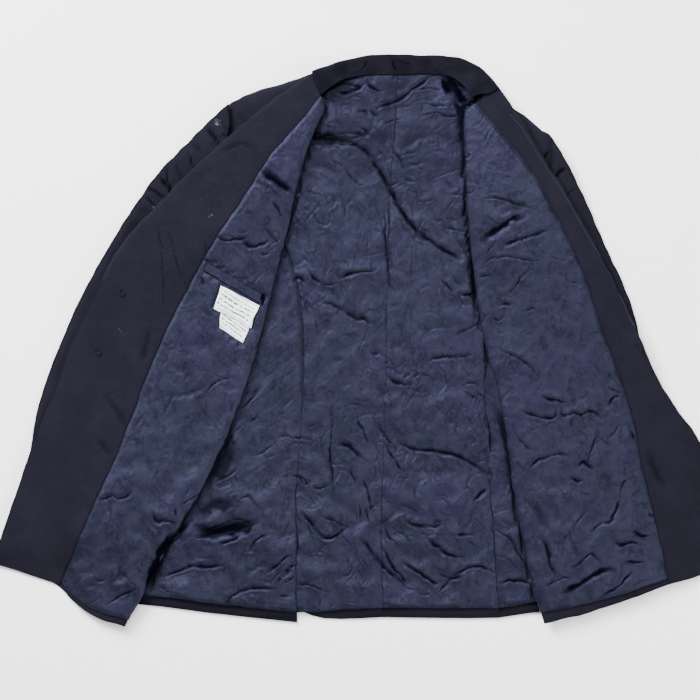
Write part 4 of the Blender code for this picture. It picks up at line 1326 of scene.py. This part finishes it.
small_patch("pocket_welt", (16, 88), 0.1)
small_patch("care_label", (34, 46), 0.2)
small_patch("maker_label", (33, 62), 0.5)

# %% Button rings and buttons
METAL_NODES = ("button_ring_1", "button_ring_2", "button_1", "button_2")
for node in METAL_NODES:
    nodes[node].data.materials.clear()
    nodes[node].data.materials.append(FINISHES[slot_of(node)])
print("walls that keep their own mesh:", ", ".join(METAL_NODES))

# %% [markdown]
# ## Threads and lint
# The eyelets of the buttons are worked in thread. A row of stitches holds the edge of the left
# front; its thread is paler than the cloth. A few specks of lint lie on the wool.


# %% Round threads
def tubes(name, paths, radius, material, closed=False, sides=6):
    """One piece of round threads along paths of points in millimetres."""
    points, faces = [], []
    turn = np.linspace(0, 2 * np.pi, sides, endpoint=False)[None, :, None]
    paths = [path for path in paths if path is not None]
    for path in paths:
        path = np.asarray(path, float)
        count = len(path)
        if closed:
            ahead = np.roll(path, -1, axis=0) - np.roll(path, 1, axis=0)
        else:
            ahead = np.gradient(path, axis=0)
        ahead /= np.linalg.norm(ahead, axis=1)[:, None]
        across = np.cross(ahead, [0, 0, 1.0])
        across /= np.linalg.norm(across, axis=1)[:, None]
        rise = np.cross(across, ahead)
        round_it = np.cos(turn) * across[:, None] + np.sin(turn) * rise[:, None]
        rings = path[:, None] + radius * round_it
        first = len(points)
        points += rings.reshape(-1, 3).tolist()
        for k in range(count if closed else count - 1):
            here, there = first + k * sides, first + (k + 1) % count * sides
            for s in range(sides):
                t = (s + 1) % sides
                faces.append((here + s, there + s, there + t, here + t))
        if not closed:
            faces.append(tuple(range(first, first + sides)))
            last = first + (count - 1) * sides
            faces.append(tuple(reversed(range(last, last + sides))))
    mesh = bpy.data.meshes.new(name)
    mesh.from_pydata([tuple(np.array(point) * MM) for point in points], [], faces)
    store(mesh, "painted_shade", np.zeros(len(points)))
    mesh.shade_smooth()
    mesh.materials.append(material)
    piece = in_scene(name, mesh)
    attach(piece, "root")
    print(f"{name}: {len(paths)} threads, {len(mesh.polygons)} faces")


def laid_on(tree, plan, above):
    """Those points of the plan, at a height above the surface, or None past its end."""
    plan = np.asarray(plan, float)
    heights = heights_on(tree, plan)
    return None if heights is None else np.column_stack([plan, heights + above])


EYELET_RINGS = ((2.6, 3.4), (2.6, 3.4), (1.5,))  # radii of each eyelet's rings of thread
facing_right = tree_of(wool_pieces["facing_right"].data)
facing_left = tree_of(wool_pieces["facing_left"].data)
sleeve_right = tree_of(wool_pieces["sleeve_right"].data)
turn = np.linspace(0, 2 * np.pi, 28, endpoint=False)
circle = np.stack([np.cos(turn), np.sin(turn)], axis=1)
worked = [
    laid_on(facing_right, place + radius * circle, 0.2)
    for place, radii in zip(EYELETS, EYELET_RINGS)
    for radius in radii
]
tubes("eyelets", worked, 0.5, NAVY_THREAD, closed=True)

# %% Stitches along the left front's edge
EDGE_LINE = (
    (204, 312), (221, 292), (238, 264), (254, 238), (276, 206), (296, 171),
    (318, 133), (337, 105), (350, 78), (362, 50), (374, 22), (386, 8),
)
STITCH = 2.4
STITCH_GAP = 0.9
STITCH_RISE = np.array([0, 0.3, 0.36, 0.3, 0])  # of the five points of a stitch
line = smooth_line(EDGE_LINE, 0.3)
along = np.concatenate([[0], np.cumsum(np.linalg.norm(np.diff(line, axis=0), axis=1))])
stitches = []
for start in np.arange(0, along[-1] - STITCH, STITCH + STITCH_GAP):
    at = np.linspace(start, start + STITCH, 5)
    plan = np.stack([np.interp(at, along, line[:, axis]) for axis in (0, 1)], axis=1)
    stitches.append(laid_on(facing_left, plan, STITCH_RISE))
tubes("edge_stitches", stitches, 0.26, PALE_THREAD)


# %% Lint
def lint(tree, place, spread, count, seed):
    """Short curled fibres around a place."""
    random = np.random.default_rng(seed)
    made = []
    for _ in range(count):
        middle = np.array(place) + random.normal(0, spread, 2)
        angle, bend, length = random.uniform(0, 6.3), random.normal(0, 1), random.uniform(1, 3.5)
        at = np.linspace(-0.5, 0.5, 7)
        heading = angle + bend * at
        plan = middle + length * np.stack([at * np.cos(heading), at * np.sin(heading)], axis=1)
        made.append(laid_on(tree, plan, 0.35))
    return made


fibre = smooth_line(((-342, 14), (-339, 11), (-337, 8)), 0.6)
specks = lint(sleeve_right, (-204, 302), 2.6, 26, 5) + lint(sleeve_right, (-205, 299), 0.8, 14, 6)
specks += lint(sleeve_right, (-293, 184), 0.9, 6, 7) + lint(facing_right, (-212, 172), 1.8, 6, 8)
specks += [laid_on(facing_right, fibre, 0.3)]
tubes("lint", specks, 0.11, GREY_FIBRE, sides=5)

# %% [markdown]
# ## Floor
# A plain pale floor, so that the dark cloth reads as in the photograph.

# %% Floor
FLOOR_SIDE = 12.0
FLOOR_DROP = 0.4 * MM  # keeps it below the lowest cloth
floor_mesh = bpy.data.meshes.new("floor")
half = FLOOR_SIDE / 2
corners = [(-half, -half, 0), (half, -half, 0), (half, half, 0), (-half, half, 0)]
floor_mesh.from_pydata(corners, [], [(0, 1, 2, 3)])
floor = in_scene("floor", floor_mesh)
floor.location.z = -FLOOR_DROP
paper = ClothFinish("paper", Roughness=0.9, Specular_IOR_Level=0.2)
grain = paper.noise(0.02, 3)
paper.wear(Base_Color=paper.blend(grain, (0.86, 0.86, 0.86, 1), (0.89, 0.89, 0.89, 1)))
floor_mesh.materials.append(paper.material)
floor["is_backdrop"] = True
print("floor, m:", FLOOR_SIDE)

# %% Sizes and finish
seen_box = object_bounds()
for axis, letter in enumerate("xyz"):
    low, high = (seen_box[side][axis] - cad_box[side][axis] for side in (0, 1))
    print(f"{letter}: low {low / MM:.1f} mm, high {high / MM:.1f} mm past the frame")
